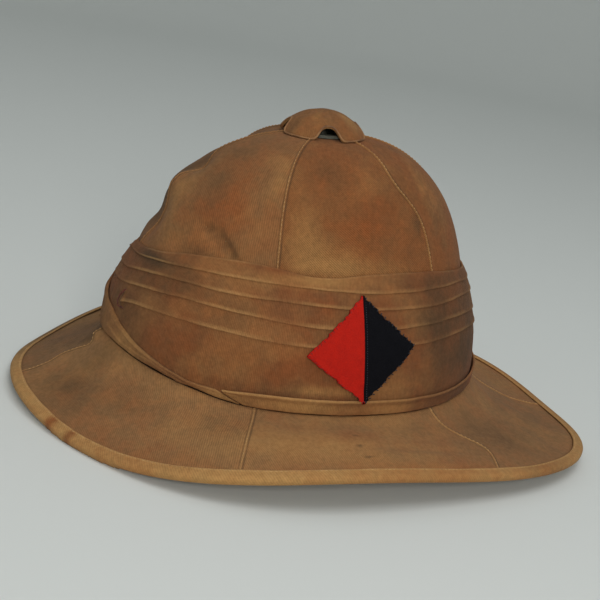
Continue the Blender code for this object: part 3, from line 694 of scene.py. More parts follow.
WRAP_MARKS = (
    (50, 34, 26, 12, 0.1, 0.25, 0.1),
    (75, 40, 22, 12, 0.1, 0.35, 0.05),
    (20, 42, 12, 16, 0.15, -0.8, 0.55),
    (78, 79, 26, 4, 0.8, 0.35, -0.2),
    (122, 77, 26, 5, -0.1, 0.1, 0.4),
    # painted shade: the wrap darkens at its left rear and at its front, where it turns from the light
    (150, 50, 24, 34, 0.0, -0.1, 0.8),
    (124, 40, 14, 30, 0.0, 0.0, 0.6),
    (8, 45, 18, 26, 0.0, 0.0, 0.6),
    (16, 76, 26, 3.8, 0.0, -0.5, 0.9),
    # painted highlight: a light strip on the wrap just above the band
    (85, 22, 26, 2.5, 0.6, 0.0, 0.0),
    (11.0, 50, 1.6, 5, 0.0, 0.9, 0.45),
    (28, 68, 24, 10, -0.1, 0.1, 0.8),
    (54, 60, 14, 8, 0.0, 0.4, 0.35),
    # painted shade on the left rear of the wrap, where it turns from the light
    (128, 60, 24, 18, 0.0, 0.25, 0.75),
    (140, 30, 20, 14, 0.0, 0.0, 0.7),
    (120, 30, 14, 10, 0.25, 0.2, 0.0),
    (85, 62, 14, 8, 0.0, 0.3, 0.3),
    # painted shade: a dark line on the wrap just above the band's upper edge
    (72, 20, 26, 3, 0.0, 0.0, 0.5),
    # painted shade on the far, right front of the wrap
    (-30, 50, 40, 30, 0.0, -0.1, 0.5),
)
BAND_MARKS = (
    (75, 14, 26, 8, 0.85, 0.15, 0.0),
    (105, 9, 16, 8, 0.3, 0.2, 0.0),
    # painted shade: the band darkens at the left rear, where it turns from the light
    (132, 8, 20, 8, 0.0, 0.0, 0.7),
    (25, 30, 26, 14, 0.6, -1.2, 0.3),
    (-2, 36, 16, 18, 0.4, -1.2, 0.45),
    (55, 14, 10, 6, 0.6, 0.0, 0.0),
)
BRIM_MARKS = (
    # azimuth, share in from the rim, half width, half depth, fade and painted light, rust, soil and
    # painted shade
    (40, 0.90, 24, 10, 0.15, -0.1, 0.1),
    (12, 0.85, 10, 12, 0.1, 0.0, 0.5),
    (18, 0.40, 22, 18, 0.0, 0.0, 0.45),
    (45, 0.15, 34, 12, 0.0, 0.3, 0.05),
    (15, 0.52, 5, 8, 0.0, 0.0, 0.2),
    # painted light: the middle of the brim on the left, facing up to the lamps, is lighter
    (78, 0.50, 30, 18, 0.5, 0.0, -0.1),
    (60, 0.70, 14, 12, 0.0, 0.1, 0.25),
    (85, 0.55, 22, 16, 0.05, 0.45, 0.0),
    (110, 0.75, 16, 12, 0.1, 0.1, 0.1),
    (100, 0.12, 26, 8, 0.05, 0.6, 0.0),
    (132, 0.55, 22, 26, 0.0, -0.1, 0.5),
    (91, 0.66, 1.5, 1.2, 0.0, 0.0, 1.2),
    (90.5, 0.47, 1.3, 1.3, 0.0, 0.0, 1.2),
    (91, 0.29, 1.6, 1.2, 0.0, 0.0, 1.2),
    (160, 0.45, 30, 26, 0.0, 0.05, 0.35),
    (10, 0.45, 14, 20, 0.0, 0.1, 0.3),
    (33, 0.70, 18, 14, 0.0, 0.2, 0.3),
    # painted shade on the far, right front of the brim, beside the front seam
    (-25, 0.60, 34, 30, 0.0, -0.1, 0.45),
    (-7, 0.90, 6, 12, 0.0, -0.2, 0.5),
    (230, 0.50, 50, 26, 0.25, 0.3, 0.1),
)


def no_marks(shape):
    """The four marks of age, with nothing in them yet."""
    return {mark: np.zeros(shape) for mark in MARKS}


def patch_marks(table, azimuth, level, depth=1.0):
    """The marks over a grid. Level is a height, or a share that depth turns into a length."""
    marks = no_marks(np.broadcast(azimuth, level).shape)
    for centre, middle, half_width, half_height, *amounts in table:
        across = np.radians(signed(azimuth - centre)) * MEAN_RADIUS
        patch = hollow(across, (level - middle) * depth, half_width, half_height, 0.0)
        for mark, amount in zip(MARKS, amounts):
            marks[mark] += amount * patch
    return marks


print("patches:", len(CROWN_MARKS) + len(WRAP_MARKS) + len(BAND_MARKS) + len(BRIM_MARKS))

# %% [markdown]
# ## Shader groups
# Twill shows slanting ribs because each thread passes over two and under one, a step further on in each
# row. A group of maths nodes draws those ribs from the UV map. A second group makes the slow mottling
# of old cloth from three sizes of noise; the loose fibres of felt are noise in the felt's own material.
# Each is built once.

# %% Node helpers


def new_tree(name, kind, inputs, outputs):
    """A node group with named sockets, and its two end nodes."""
    tree = bpy.data.node_groups.new(name, kind)
    for label, socket in inputs:
        tree.interface.new_socket(label, in_out="INPUT", socket_type="NodeSocket" + socket)
    for label, socket in outputs:
        tree.interface.new_socket(label, in_out="OUTPUT", socket_type="NodeSocket" + socket)
    return tree, tree.nodes.new("NodeGroupInput").outputs, tree.nodes.new("NodeGroupOutput").inputs


def feed(tree, value, socket):
    """Links a socket from another one, or sets it to a value."""
    if isinstance(value, bpy.types.NodeSocket):
        tree.links.new(value, socket)
    else:
        socket.default_value = value


def node(tree, kind, inputs=None, **settings):
    """A node with its settings made, then its inputs set or linked."""
    made = tree.nodes.new(kind)
    for setting, value in settings.items():
        setattr(made, setting, value)
    for label, value in (inputs or {}).items():
        feed(tree, value, made.inputs[label])
    return made


def maths(tree, operation, *values):
    return node(tree, "ShaderNodeMath", dict(enumerate(values)), operation=operation).outputs[0]


def noise(tree, place, scale, detail, roughness=0.5):
    inputs = {"Vector": place, "Scale": scale, "Detail": detail, "Roughness": roughness}
    return node(tree, "ShaderNodeTexNoise", inputs).outputs[0]


def mix_colour(tree, amount, first, second, blend="MIX"):
    """Two colours mixed: sockets 0, 6 and 7 of the node are the amount and the colours."""
    inputs = {0: amount, 6: first, 7: second}
    return node(tree, "ShaderNodeMix", inputs, data_type="RGBA", blend_type=blend).outputs[2]


def bump(tree, shader, height, strength, distance):
    inputs = {"Strength": strength, "Distance": distance, "Height": height}
    tree.links.new(node(tree, "ShaderNodeBump", inputs).outputs[0], shader.inputs["Normal"])


def srgb(red, green, blue):
    """A colour as 0 to 255, as the linear colour that a shader takes."""
    parts = [channel / 255 for channel in (red, green, blue)]
    linear = [part / 12.92 if part <= 0.04045 else ((part + 0.055) / 1.055) ** 2.4 for part in parts]
    return (*linear, 1.0)


print("mid grey for a shader:", round(srgb(128, 128, 128)[0], 3))

# %% Twill group
WOBBLE_SCALE, WOBBLE = 160.0, 0.0006
THREADS_PER_RIB, THREAD_HEIGHT = 1.7, 0.35
SLUB_SCALE, SLUB_SHARE = (900.0, 240.0, 1.0), 0.5
HEIGHT_SHARE, TONE_SHARE = 0.37, 0.3


def make_twill():
    """Slanting ribs crossed by finer threads, from a UV map in metres."""
    group, start, end = new_tree(
        "twill_weave",
        "ShaderNodeTree",
        [("Cloth", "Vector"), ("Rib", "Float"), ("Slant", "Float")],
        [("Height", "Float"), ("Tone", "Float")],
    )
    parts = node(group, "ShaderNodeSeparateXYZ", {0: start["Cloth"]}).outputs
    turns = maths(group, "DIVIDE", 2 * math.pi, start["Rib"])
    run = maths(group, "ADD", parts[0], maths(group, "MULTIPLY", parts[1], start["Slant"]))
    wobble = noise(group, start["Cloth"], WOBBLE_SCALE, 1.0)
    bent = maths(group, "MULTIPLY_ADD", wobble, WOBBLE, run)
    rib = maths(group, "SINE", maths(group, "MULTIPLY", bent, turns))
    cross_turns = maths(group, "MULTIPLY", turns, THREADS_PER_RIB)
    thread = maths(group, "SINE", maths(group, "MULTIPLY", parts[1], cross_turns))
    height = maths(group, "MULTIPLY_ADD", thread, THREAD_HEIGHT, rib)
    stretch = node(group, "ShaderNodeMapping", {"Vector": start["Cloth"], "Scale": SLUB_SCALE})
    slub = noise(group, stretch.outputs[0], 1.0, 2.0)
    soft = maths(group, "MULTIPLY_ADD", slub, SLUB_SHARE, 0.5 - SLUB_SHARE / 2)
    group.links.new(maths(group, "MULTIPLY_ADD", height, HEIGHT_SHARE, 0.5), end["Height"])
    group.links.new(maths(group, "MULTIPLY_ADD", height, TONE_SHARE, soft), end["Tone"])
    return group


TWILL = make_twill()
print("group:", TWILL.name)

# %% Ageing group
MOTTLES = (
    # output, scale, detail, roughness
    ("Slow", 24.0, 3.0, 0.55),
    ("Middle", 75.0, 4.0, 0.65),
    ("Fine", 420.0, 3.0, 0.7),
)
MOTTLE_RANGE = {"From Min": 0.32, "From Max": 0.68}


def make_ageing():
    """Slow, middle and fine mottling from the place on the helmet."""
    group, start, end = new_tree(
        "cloth_ageing",
        "ShaderNodeTree",
        [("Place", "Vector"), ("Size", "Float")],
        [(label, "Float") for label, *_ in MOTTLES],
    )
    for label, scale, detail, roughness in MOTTLES:
        scaled = maths(group, "MULTIPLY", start["Size"], scale)
        mottle = noise(group, start["Place"], scaled, detail, roughness)
        sharp = node(
            group,
            "ShaderNodeMapRange",
            {"Value": mottle, **MOTTLE_RANGE},
            interpolation_type="SMOOTHSTEP",
        )
        group.links.new(sharp.outputs[0], end[label])
    return group


AGEING = make_ageing()
print("group:", AGEING.name)

# %% [markdown]
# ## Cloth material
# One function makes every cotton material. It starts from the cloth's own colour, mixes in a bleached,
# a rusty, a soiled and a worn one by the marks and the mottling, and darkens the grooves of the weave.
# The bleached tint also paints light, the soiled one shade and the worn one highlights on edges. The
# cloth is quite rough, with a thin sheen from its nap.

# %% Cloth material
AGES = (
    # mark, mottling, its share and its shift, strength of the tint, tint
    # the fade tint also paints light, the soil tint painted shade and the wear tint painted highlights
    ("rust", "Middle", 0.45, -0.12, 0.62, srgb(138, 72, 34)),
    ("fade_and_light", "Slow", 0.5, -0.22, 0.75, srgb(172, 130, 78)),
    ("soil_and_shade", "Middle", -0.35, 0.16, 0.72, srgb(74, 56, 38)),
    ("wear_and_shine", None, 0.0, 0.0, 0.6, srgb(190, 146, 92)),
)
SPECKS = {"To Min": 0.9, "To Max": 1.1}
ROUGHEST, SMOOTHER_SPECKS = 0.92, -0.08
NAP, WEAVE_BUMP, WEAVE_DEPTH = 0.5, 0.6, 0.00022
COTTON = {"Sheen Weight": 0.03, "Sheen Roughness": 0.55, "Specular IOR Level": 0.1}


def aged_material(name, size):
    """A new material with the ageing group in it: also its tree, shader, place and ages."""
    material, tree, shader = new_material(name)
    place = node(tree, "ShaderNodeTexCoord").outputs["Object"]
    age = node(tree, "ShaderNodeGroup", {"Place": place, "Size": size}, node_tree=AGEING).outputs
    return material, tree, shader, place, age


def cloth_material(name, base, rib, slant, weave):
    """Cotton cloth: base colour, rib spacing in metres, slant of the ribs and strength of the weave."""
    material, tree, shader, _, age = aged_material(name, 1.0)
    cloth = node(tree, "ShaderNodeUVMap", uv_map="cloth").outputs[0]
    sizes = {"Cloth": cloth, "Rib": rib, "Slant": slant}
    twill = node(tree, "ShaderNodeGroup", sizes, node_tree=TWILL).outputs
    colour = base
    for mark, mottle, share, shift, strength, tint in AGES:
        amount = node(tree, "ShaderNodeAttribute", attribute_name=mark).outputs["Fac"]
        if mottle:
            amount = maths(tree, "MULTIPLY_ADD", age[mottle], share, amount)
            amount = maths(tree, "ADD", amount, shift)
        colour = mix_colour(tree, maths(tree, "MULTIPLY", amount, strength), colour, tint)
    speck = node(tree, "ShaderNodeMapRange", {"Value": age["Fine"], **SPECKS})
    tone = maths(tree, "SUBTRACT", twill["Tone"], 0.5)
    tone = maths(tree, "MULTIPLY_ADD", tone, weave, speck.outputs[0])
    shade = node(tree, "ShaderNodeCombineColor", {0: tone, 1: tone, 2: tone})
    colour = mix_colour(tree, 1.0, colour, shade.outputs[0], blend="MULTIPLY")
    tree.links.new(colour, shader.inputs["Base Color"])
    rough = maths(tree, "MULTIPLY_ADD", age["Fine"], SMOOTHER_SPECKS, ROUGHEST)
    tree.links.new(rough, shader.inputs["Roughness"])
    napped = maths(tree, "MULTIPLY_ADD", age["Fine"], NAP, twill["Height"])
    bump(tree, shader, napped, WEAVE_BUMP, WEAVE_DEPTH)
    set_plain(shader, COTTON)
    return material


CLOTHS = (
    # name, base colour, rib, slant, weave
    ("crown_drill", srgb(125, 81, 47), 0.0015, 1.0, 0.75),
    ("front_drill", srgb(129, 90, 56), 0.0012, 0.25, 0.45),
    ("cap_drill", srgb(132, 90, 54), 0.0009, 0.4, 0.15),
    ("brim_drill", srgb(139, 101, 65), 0.0012, 0.5, 0.45),
    ("wrap_cotton", srgb(119, 76, 46), 0.0009, 0.0, 0.3),
    ("binding_tape", srgb(170, 130, 80), 0.0015, 0.7, 0.26),
    ("hull_lining", srgb(150, 128, 92), 0.0009, 0.0, 0.4),
)
cloths = {row[0]: cloth_material(*row) for row in CLOTHS}
print("cloths:", ", ".join(cloths))

# %% [markdown]
# ## Felt, thread, hull and metal
# The patch is wool felt: short matted fibres and no weave, so fine noise in two sizes stands for it.
# Thread is smoother than cloth. The hull's inside wears a plain cotton lining over its moulded form,
# and the collar under the vent cap is dull paint over metal, worn to the primer in patches.

# %% Felt, thread, hull and metal
FELT_FIBRE = 2600.0


def felt_material(name, base, light, dark):
    material, tree, shader, place, age = aged_material(name, 3.0)
    fibre = noise(tree, place, FELT_FIBRE, 3.0)
    colour = mix_colour(tree, maths(tree, "MULTIPLY", age["Middle"], 0.35), base, dark)
    colour = mix_colour(tree, maths(tree, "MULTIPLY_ADD", fibre, 0.9, -0.35), colour, light)
    tree.links.new(colour, shader.inputs["Base Color"])
    bump(tree, shader, maths(tree, "MULTIPLY_ADD", age["Fine"], 0.8, fibre), 0.7, 0.00035)
    set_plain(shader, {"Roughness": 0.97, "Specular IOR Level": 0.08})
    return material


def thread_material(name, base, dark):
    material, tree, shader, _, age = aged_material(name, 2.0)
    tree.links.new(mix_colour(tree, age["Middle"], base, dark), shader.inputs["Base Color"])
    set_plain(shader, {"Roughness": 0.75})
    return material


def paint_material(name, base, worn_and_lit, dirt):
    material, tree, shader, _, age = aged_material(name, 4.0)
    colour = mix_colour(tree, age["Middle"], base, worn_and_lit)
    colour = mix_colour(tree, maths(tree, "MULTIPLY", age["Fine"], 0.4), colour, dirt)
    tree.links.new(colour, shader.inputs["Base Color"])
    rough = maths(tree, "MULTIPLY_ADD", age["Middle"], 0.25, 0.4)
    tree.links.new(rough, shader.inputs["Roughness"])
    bump(tree, shader, age["Fine"], 0.3, 0.0001)
    return material


THREADS = (
    # name, colour, its darker tone
    ("pale_thread", srgb(196, 156, 104), srgb(150, 108, 66)),
    ("cloth_thread", srgb(150, 108, 66), srgb(110, 74, 44)),
    ("red_thread", srgb(150, 26, 22), srgb(84, 18, 18)),
    ("rusty_thread", srgb(104, 40, 24), srgb(66, 26, 18)),
    ("black_thread", srgb(20, 20, 28), srgb(40, 38, 44)),
    ("grey_thread", srgb(72, 74, 82), srgb(46, 46, 56)),
)
threads = {row[0]: thread_material(*row) for row in THREADS}
RED_FELT = felt_material("red_felt", srgb(184, 30, 20), srgb(208, 56, 42), srgb(150, 24, 20))
BLACK_FELT = felt_material("black_felt", srgb(15, 15, 19), srgb(30, 30, 36), srgb(7, 7, 10))
COLLAR_PAINT = paint_material("collar_paint", srgb(66, 68, 58), srgb(92, 92, 80), srgb(50, 46, 38))
print("materials:", len(bpy.data.materials))

# %% [markdown]
# ## Crown gores
# Each gore is a tall triangle of drill, sewn to its neighbours and stretched over the hull. The seams
# are felled: one gore's edge is turned over the other's and stitched down, which leaves a cord-like ridge
# on a low strip a few millimetres wide. The hull has been knocked in at the front, and the cloth with it.

# %% Dents of the crown
DENTS = (
    # azimuth, height, half length, half width, turn, depth
    (43.0, 92.5, 15.0, 4.5, -30.0, 2.0),
    (35.5, 99.0, 9.0, 1.7, -6.0, 1.7),
    (46.5, 91.8, 11.0, 1.8, -38.0, 2.6),
    (52.0, 98.0, 20.0, 14.0, 0.0, -0.5),
    (24.0, 88.0, 9.0, 5.0, 10.0, 0.8),
)
FRONT_DENTS = np.array(
    (
        # height, depth at the front seam, depth to the right of it
        (78.0, 0.0, 0.0), (84.0, 1.8, 0.6), (88.0, 3.5, 2.0), (92.0, 4.6, 3.5), (96.0, 4.4, 3.6),
        (100.0, 3.7, 2.6), (103.5, 2.2, 1.2), (107.0, 0.0, 0.5), (111.5, -2.7, -1.0),
        (117.0, -2.2, 0.2), (121.0, 1.4, 1.2), (124.5, 4.6, 2.0), (127.5, 4.2, 2.3),
        (131.0, 1.0, 2.5), (134.0, -0.3, 3.7), (139.0, 0.0, 4.0), (144.0, 0.0, 1.5), (147.0, 0.0, 0.0),
    )
)
LEFT_FADE, RIGHT_FADE, RIGHT_START, RIGHT_END = 8, 15, 45, 20


def front_depth(turned, height):
    """The knocked-in front: it ends softly on the left and runs further round on the right."""
    seam, right = (rounded(FRONT_DENTS, column, height, 1.2) for column in (1, 2))
    off = turned - SEAMS[0][0]
    far = seam + (right - seam) * smooth(-off / RIGHT_FADE)
    far *= 1 - ramp(-off, RIGHT_START, RIGHT_END)
    return np.where(off > 0, seam * np.exp(-((off / LEFT_FADE) ** 2)), far)


def dent_depth(azimuth, height):
    turned = signed(azimuth)
    total = front_depth(turned, height)
    for centre, level, half_length, half_width, turn, depth in DENTS:
        along = np.radians(turned - centre) * (CROWN_HALF_LENGTH + CROWN_HALF_WIDTH) / 2
        total += depth * hollow(along, height - level, half_length, half_width, turn)
    return total


print("deepest dent at the front seam:", FRONT_DENTS[:, 1].max(), "mm")

# %% Felled seams
LAP_WIDTH = 3.3
LAP_RISE = 0.3
LAP_EDGE = (0.4, 0.9)
LAP_OVERHANG = 0.35
LAP_LINES = (
    # distance from the fold, half width, height: the ridge over the cord, and the groove behind it
    (0.5, 0.5, 0.45),
    (1.5, 0.35, -0.16),
)
ALLOWANCE = (3.2, 1.0, 0.12)
# painted shade: the whole right front panel, and a dark line in the groove of each seam
PANEL_SHADE = {"right_front": 0.3}
SEAM_SHADE = 0.9


def edge_distances(points):
    """How far each point of a grid lies from its first and from its last column, along its row."""
    steps = np.linalg.norm(np.diff(points, axis=0), axis=-1)
    across = np.concatenate([np.zeros_like(steps[:1]), np.cumsum(steps, axis=0)])
    return across, across[-1] - across


def near(distance, place, reach):
    """1 at a distance from an edge, and gone a reach beside it."""
    return np.exp(-(((distance - place) / reach) ** 2))


def edges_of(gore, from_start, from_end):
    """The two edges of a panel: the distances from each, and whether the panel laps over there."""
    return (from_start, SEAMS[gore][-1] > 0), (from_end, SEAMS[(gore + 1) % len(SEAMS)][-1] < 0)


def seam_relief(gore, from_start, from_end):
    """The felled strip and its ridge on a lapping edge, and the hidden allowance under the other."""
    relief = 0.0
    for distance, laps in edges_of(gore, from_start, from_end):
        if laps:
            past = smooth((distance - LAP_WIDTH + LAP_EDGE[0]) / LAP_EDGE[1])
            lines = sum(rise * near(distance, place, reach) for place, reach, rise in LAP_LINES)
            relief = relief + LAP_RISE * (1 - past) + lines
        else:
            relief = relief + ALLOWANCE[2] * near(distance, *ALLOWANCE[:2])
    return relief


def seam_marks(marks, gore, points, shine):
    """Wear and painted highlight on lapping edges, painted shade behind the ridge and on the panel under
    it.
    """
    marks["soil_and_shade"] += PANEL_SHADE.get(PANELS[gore], 0.0)
    for distance, laps in edges_of(gore, *edge_distances(points)):
        place, reach = (1.7, 0.5) if laps else (0.0, 0.6)
        marks["soil_and_shade"] += SEAM_SHADE * near(distance, place, reach)
        if laps:
            marks["wear_and_shine"] += shine * near(distance, 0.4, 0.45)


def overhang(points, gore):
    """Moves a lapping edge a little past the seam."""
    for (_, laps), end, inner in zip(edges_of(gore, None, None), (0, -1), (1, -2)):
        if laps:
            points[end] += unit(points[end] - points[inner]) * LAP_OVERHANG


print("a lap's ridge stands", LAP_RISE + LAP_LINES[0][2], "mm over the cloth")

# %% Crown gores
CLOTH = 1.0
SEAM_STEPS = (0, 2.5, 5, 7.5, 10.2, 13, 16, 19, 22.5, 26.5, 31, 36.5, 43, 51, 62, 76, 92)
GORE_RISES = np.concatenate([[0.04, 0.5], np.linspace(0.93, 2.0, 84)])
CROWN_WAVES = ((0.30, 38.0, 3), (0.07, 11.0, 4))


def seam_parts(middle):
    """Where a panel's columns lie across it: close together beside its seams."""
    beside = np.array(SEAM_STEPS) / 1000
    return np.concatenate([beside, np.linspace(0.11, 0.89, middle), 1 - beside[::-1]])


def panel_grid(gore, parts, rises):
    """Azimuths and heights of a gore's grid, from seam to seam and from the base to the vent."""
    start, end = seam_azimuth(gore, rises), seam_azimuth(gore + 1, rises)
    azimuth = start[None] + (end - start)[None] * parts[:, None]
    return azimuth, crown_height(azimuth, np.broadcast_to(rises, azimuth.shape))


def crown_cloth(gore, parts, rises, over=0.0):
    """Points of a gore's outer face with its laps, dents and waves, and the unit normals there."""
    azimuth, height = panel_grid(gore, parts, rises)
    plain = crown_at(azimuth, height)
    normal = grid_normals(plain)
    lift = -dent_depth(azimuth, height)
    lift += swells(CROWN_WAVES, azimuth, height)
    lift += seam_relief(gore, *edge_distances(plain))
    return plain + normal * (lift + over)[..., None], normal, azimuth, height


def add_panel(name, gore, surface, marks, shine, cloth):
    """A panel's sheet from its surface's answer, with the marks of its seams and its laps."""
    points = surface[0]
    seam_marks(marks, gore, points, shine)
    overhang(points, gore)
    return sheet_object(f"{name}_{PANELS[gore]}", points, CLOTH, cloth, marks)


def add_gore(gore):
    surface = crown_cloth(gore, seam_parts(44), GORE_RISES)
    cloth = cloths["front_drill" if PANELS[gore].endswith("front") else "crown_drill"]
    return add_panel("gore", gore, surface, patch_marks(CROWN_MARKS, *surface[2:]), 0.6, cloth)


gores = [add_gore(gore) for gore in range(len(SEAMS))]
print("gores:", len(gores), "triangles each:", len(gores[0].data.polygons) * 2)

# %% [markdown]
# ## Brim pieces
# Six flat pieces of the same drill cover the top of the brim. Their seams are felled like the crown's.
# The brim has been bent a little by storage: a soft valley in the left front and a crease near the rim.

# %% Brim pieces
EDGE_SETBACK = 1.5
BRIM_STATIONS = np.concatenate([np.linspace(0.0, 0.97, 46) ** 1.1, (0.977, 0.985, 0.993, 1.0)])
BRIM_SHORT = 0.25
BRIM_FOLLOWS = 0.97
BRIM_RADIUS = 130.0
BRIM_WAVES = ((0.28, 40.0, 7), (0.07, 12.0, 8))
BRIM_RELIEF = 0.8
BRIM_DENTS = (
    # azimuth, share in from the rim, half length across, half width in, turn, depth
    (17.0, 0.62, 7.0, 24.0, 24.0, 1.3),
    (104.0, 0.42, 28.0, 3.0, -3.0, 0.9),
    (106.0, 0.17, 40.0, 4.0, 4.0, -0.5),
    (-3.0, 0.60, 12.0, 9.0, 0.0, -1.3),
    (-3.0, 0.86, 10.0, 4.0, 0.0, 1.6),
    (-1.5, 0.95, 6.0, 3.2, 0.0, -3.2),
    (150.0, 0.45, 12.0, 30.0, -15.0, 0.8),
    (235.0, 0.40, 10.0, 26.0, 12.0, 0.8),
    (310.0, 0.50, 9.0, 26.0, -20.0, 0.9),
)
BRIM_SWAY = {
    # seam: share in from the rim, how far the seam strays from its azimuth
    0: ((0.0, 1.5), (0.27, 0.2), (0.6, -1.4), (0.8, 0.4), (0.87, 1.4), (1.0, -0.4)),
    2: ((0.0, -4.0), (0.13, -2.6), (0.36, 1.4), (0.46, 1.9), (0.62, 0.4), (0.8, -0.6), (1.0, 0.5)),
}
FOOT_RISE = np.array(
    (
        # azimuth, how far the wrap's foot has come up from the brim
        (-12, 0.0), (-4, 0.4), (3, 1.0), (10, 2.4), (20, 3.0), (30, 3.3), (42, 3.3), (50, 2.4),
        (55, 1.1), (60, 0.2), (70, 0.1), (95, 0.2), (100, 0.6), (135, 0.9), (150, 0.6), (165, 0.0),
    )
)


def foot_rise(azimuth):
    """How far the wrap's foot has come up from the brim."""
    return rounded(FOOT_RISE, 1, signed(azimuth), 3.0)


def brim_seam(index, stations):
    """A brim seam's azimuths on the way in from the rim."""
    turns, index = divmod(index, len(SEAMS))
    azimuth = SEAMS[index][3] + 360.0 * turns
    if index not in BRIM_SWAY:
        return azimuth + 0.0 * stations
    return azimuth + rounded(np.array(BRIM_SWAY[index]), 1, stations, 0.06)


def brim_cloth(gore, parts, stations, over=0.0):
    start, end = brim_seam(gore, stations), brim_seam(gore + 1, stations)
    azimuth = start[None] + (end - start)[None] * parts[:, None]
    length = brim_length(azimuth)
    setback, short = EDGE_SETBACK / length, BRIM_SHORT * foot_rise(azimuth) / length
    inward = setback + (1 - setback - short) * stations[None]
    plain = brim_skin(azimuth, inward)
    normal = grid_normals(plain)
    lift = swells(BRIM_WAVES, azimuth, inward * length)
    for centre, share, half_length, half_width, turn, depth in BRIM_DENTS:
        across = np.radians(signed(azimuth - centre)) * BRIM_RADIUS
        lift -= depth * hollow(across, (inward - share) * length, half_length, half_width, turn)
    lift *= smooth((1.0 - inward) * 12)
    lift += BRIM_RELIEF * seam_relief(gore, *edge_distances(plain))
    points = plain + normal * (lift + over)[..., None]
    points[..., 2] += BRIM_FOLLOWS * foot_rise(azimuth) * smooth((inward - 0.5) * 2)
    return points, normal, azimuth, inward


def add_brim_piece(gore):
    surface = brim_cloth(gore, seam_parts(64), BRIM_STATIONS)
    marks = patch_marks(BRIM_MARKS, *surface[2:], depth=70.0)
    return add_panel("brim", gore, surface, marks, 0.7, cloths["brim_drill"])


brims = [add_brim_piece(gore) for gore in range(len(SEAMS))]
print("brim pieces:", len(brims), "triangles each:", len(brims[0].data.polygons) * 2)

# %% [markdown]
# ## The wrap
# Seen from the side, the wrap is a stack of folds like roof tiles: each pleat swells to a rounded lower
# edge and steps back under it. So one profile, drawn at each of many azimuths, makes the whole wrap. The
# heights of its steps wander a little, as hand-laid pleats do.

# %% Profile of the wrap
WRAP_COLUMNS = 540
PLEAT_DEPTH = 0.8
WRAP_INNER = 0.6
WRAP_PLAIN_ROWS = 16
LIP = (
    # height above the pleat's edge, share of the pleat's depth
    (-0.30, 0.00), (-0.05, 0.05), (-0.18, 0.40), (-0.10, 0.80), (0.12, 1.00), (0.45, 1.00), (0.80, 0.82),
)
PLEAT_SHARES = (0.25, 0.42, 0.6, 0.78, 0.92)
TOP_ROLL = ((0.9, 0.0), (0.25, 0.15), (0.0, 0.7), (0.15, 1.25))  # below the top edge, in from the face
PLEAT_WAVES = ((0.45, 55.0, 20), (0.14, 16.0, 30))
TUCK_STARTS, TUCK_ENDS = (-14, 4), (10.4, 1.6)
TUCK_AZIMUTH, TUCK_HEIGHT, TUCK_BUMP = 12.2, 50.0, 1.2
CREASES = (0.10, 6.0, 41)
SLOW_WAVES = (0.22, 30.0, 42)
BAND_HEIGHT = 9.6
FOLD_SLANT = 3.0
WRAP_AZIMUTHS = np.arange(WRAP_COLUMNS) * 360 / WRAP_COLUMNS


def foot_line(azimuth):
    """The height where the wrap, its band and its tail stop, just above the brim."""
    return waves(BASE_LINE, azimuth) + FOOT_CLEARANCE + foot_rise(azimuth)


def pleat_edge(pleat, azimuth):
    """A pleat's height with its hand-laid wander."""
    return wrap_line(pleat, azimuth) + swells(PLEAT_WAVES, azimuth, 0.0, pleat)


def tucked(azimuth):
    """1 where the lowest pleat is tucked away behind the tail, at the front."""
    turned = signed(azimuth)
    return ramp(turned, *TUCK_STARTS) * (1 - ramp(turned, *TUCK_ENDS))


def folds(azimuth, height):
    """Low creases that run round the wrap, a little aslant, and the edge of the tuck at the front."""
    drift = height + FOLD_SLANT * np.sin(np.radians(azimuth * 2 + 20))
    fine = swell(azimuth * 0.35, drift, *CREASES[1:]) * CREASES[0]
    tuck = hollow((azimuth - TUCK_AZIMUTH) * 1.7, height - TUCK_HEIGHT, 1.2, 5.0, 0.0)
    slow = SLOW_WAVES[0] * ring_swell(azimuth, height, *SLOW_WAVES[1:]) * ramp(height, 14, 10)
    return fine + TUCK_BUMP * tuck + slow


def wrap_rows(azimuth):
    """The outer profile as rows of height and of distance over the plain face, with their wear and
    painted highlight.
    """
    foot = foot_line(azimuth)
    edges = [pleat_edge(pleat, azimuth) for pleat in (4, 3, 2, 1)]
    top = pleat_edge(0, azimuth)
    rows = [(foot, -0.8, 0.0), (foot + 0.1, 0.0, 0.0)]
    low, high = foot + 0.8, edges[0] - 1.0
    for share in np.linspace(0.0, 1.0, WRAP_PLAIN_ROWS):
        rows.append((low + (high - low) * share, 0.0, 0.0))
    depths = [PLEAT_DEPTH * (1 - tucked(azimuth))] + [PLEAT_DEPTH] * 3
    for edge, after, depth in zip(edges, edges[1:] + [None], depths):
        for rise, share in LIP:
            # a pleat's rounded edge gets wear and a painted highlight where it catches the light
            rows.append((edge + rise, depth * share, depth * 0.9 if share > 0.5 else 0.0))
        reach = top - 1.2 if after is None else after - 0.6
        for share in PLEAT_SHARES:
            rows.append((edge + (reach - edge) * share, depth * 0.75 * (1 - share), 0.0))
    for drop, inset in TOP_ROLL:
        # the rolled top edge gets wear and a painted highlight too
        rows.append((top - drop, -inset, 0.5 if 0.1 < inset < 1.0 else 0.0))
    return rows


print("rows of the wrap's profile:", len(wrap_rows(WRAP_AZIMUTHS)))

# %% Wrap
# wear and painted highlight on the pleats: least at the front, dimmed at the left rear where the wrap
# turns from the light
LEAST_WEAR_AND_SHINE = 0.15
PLAIN_FRONT, PLAIN_RUN = (-6, 12), 10
DULL_REAR = (125, 28, 0.6)


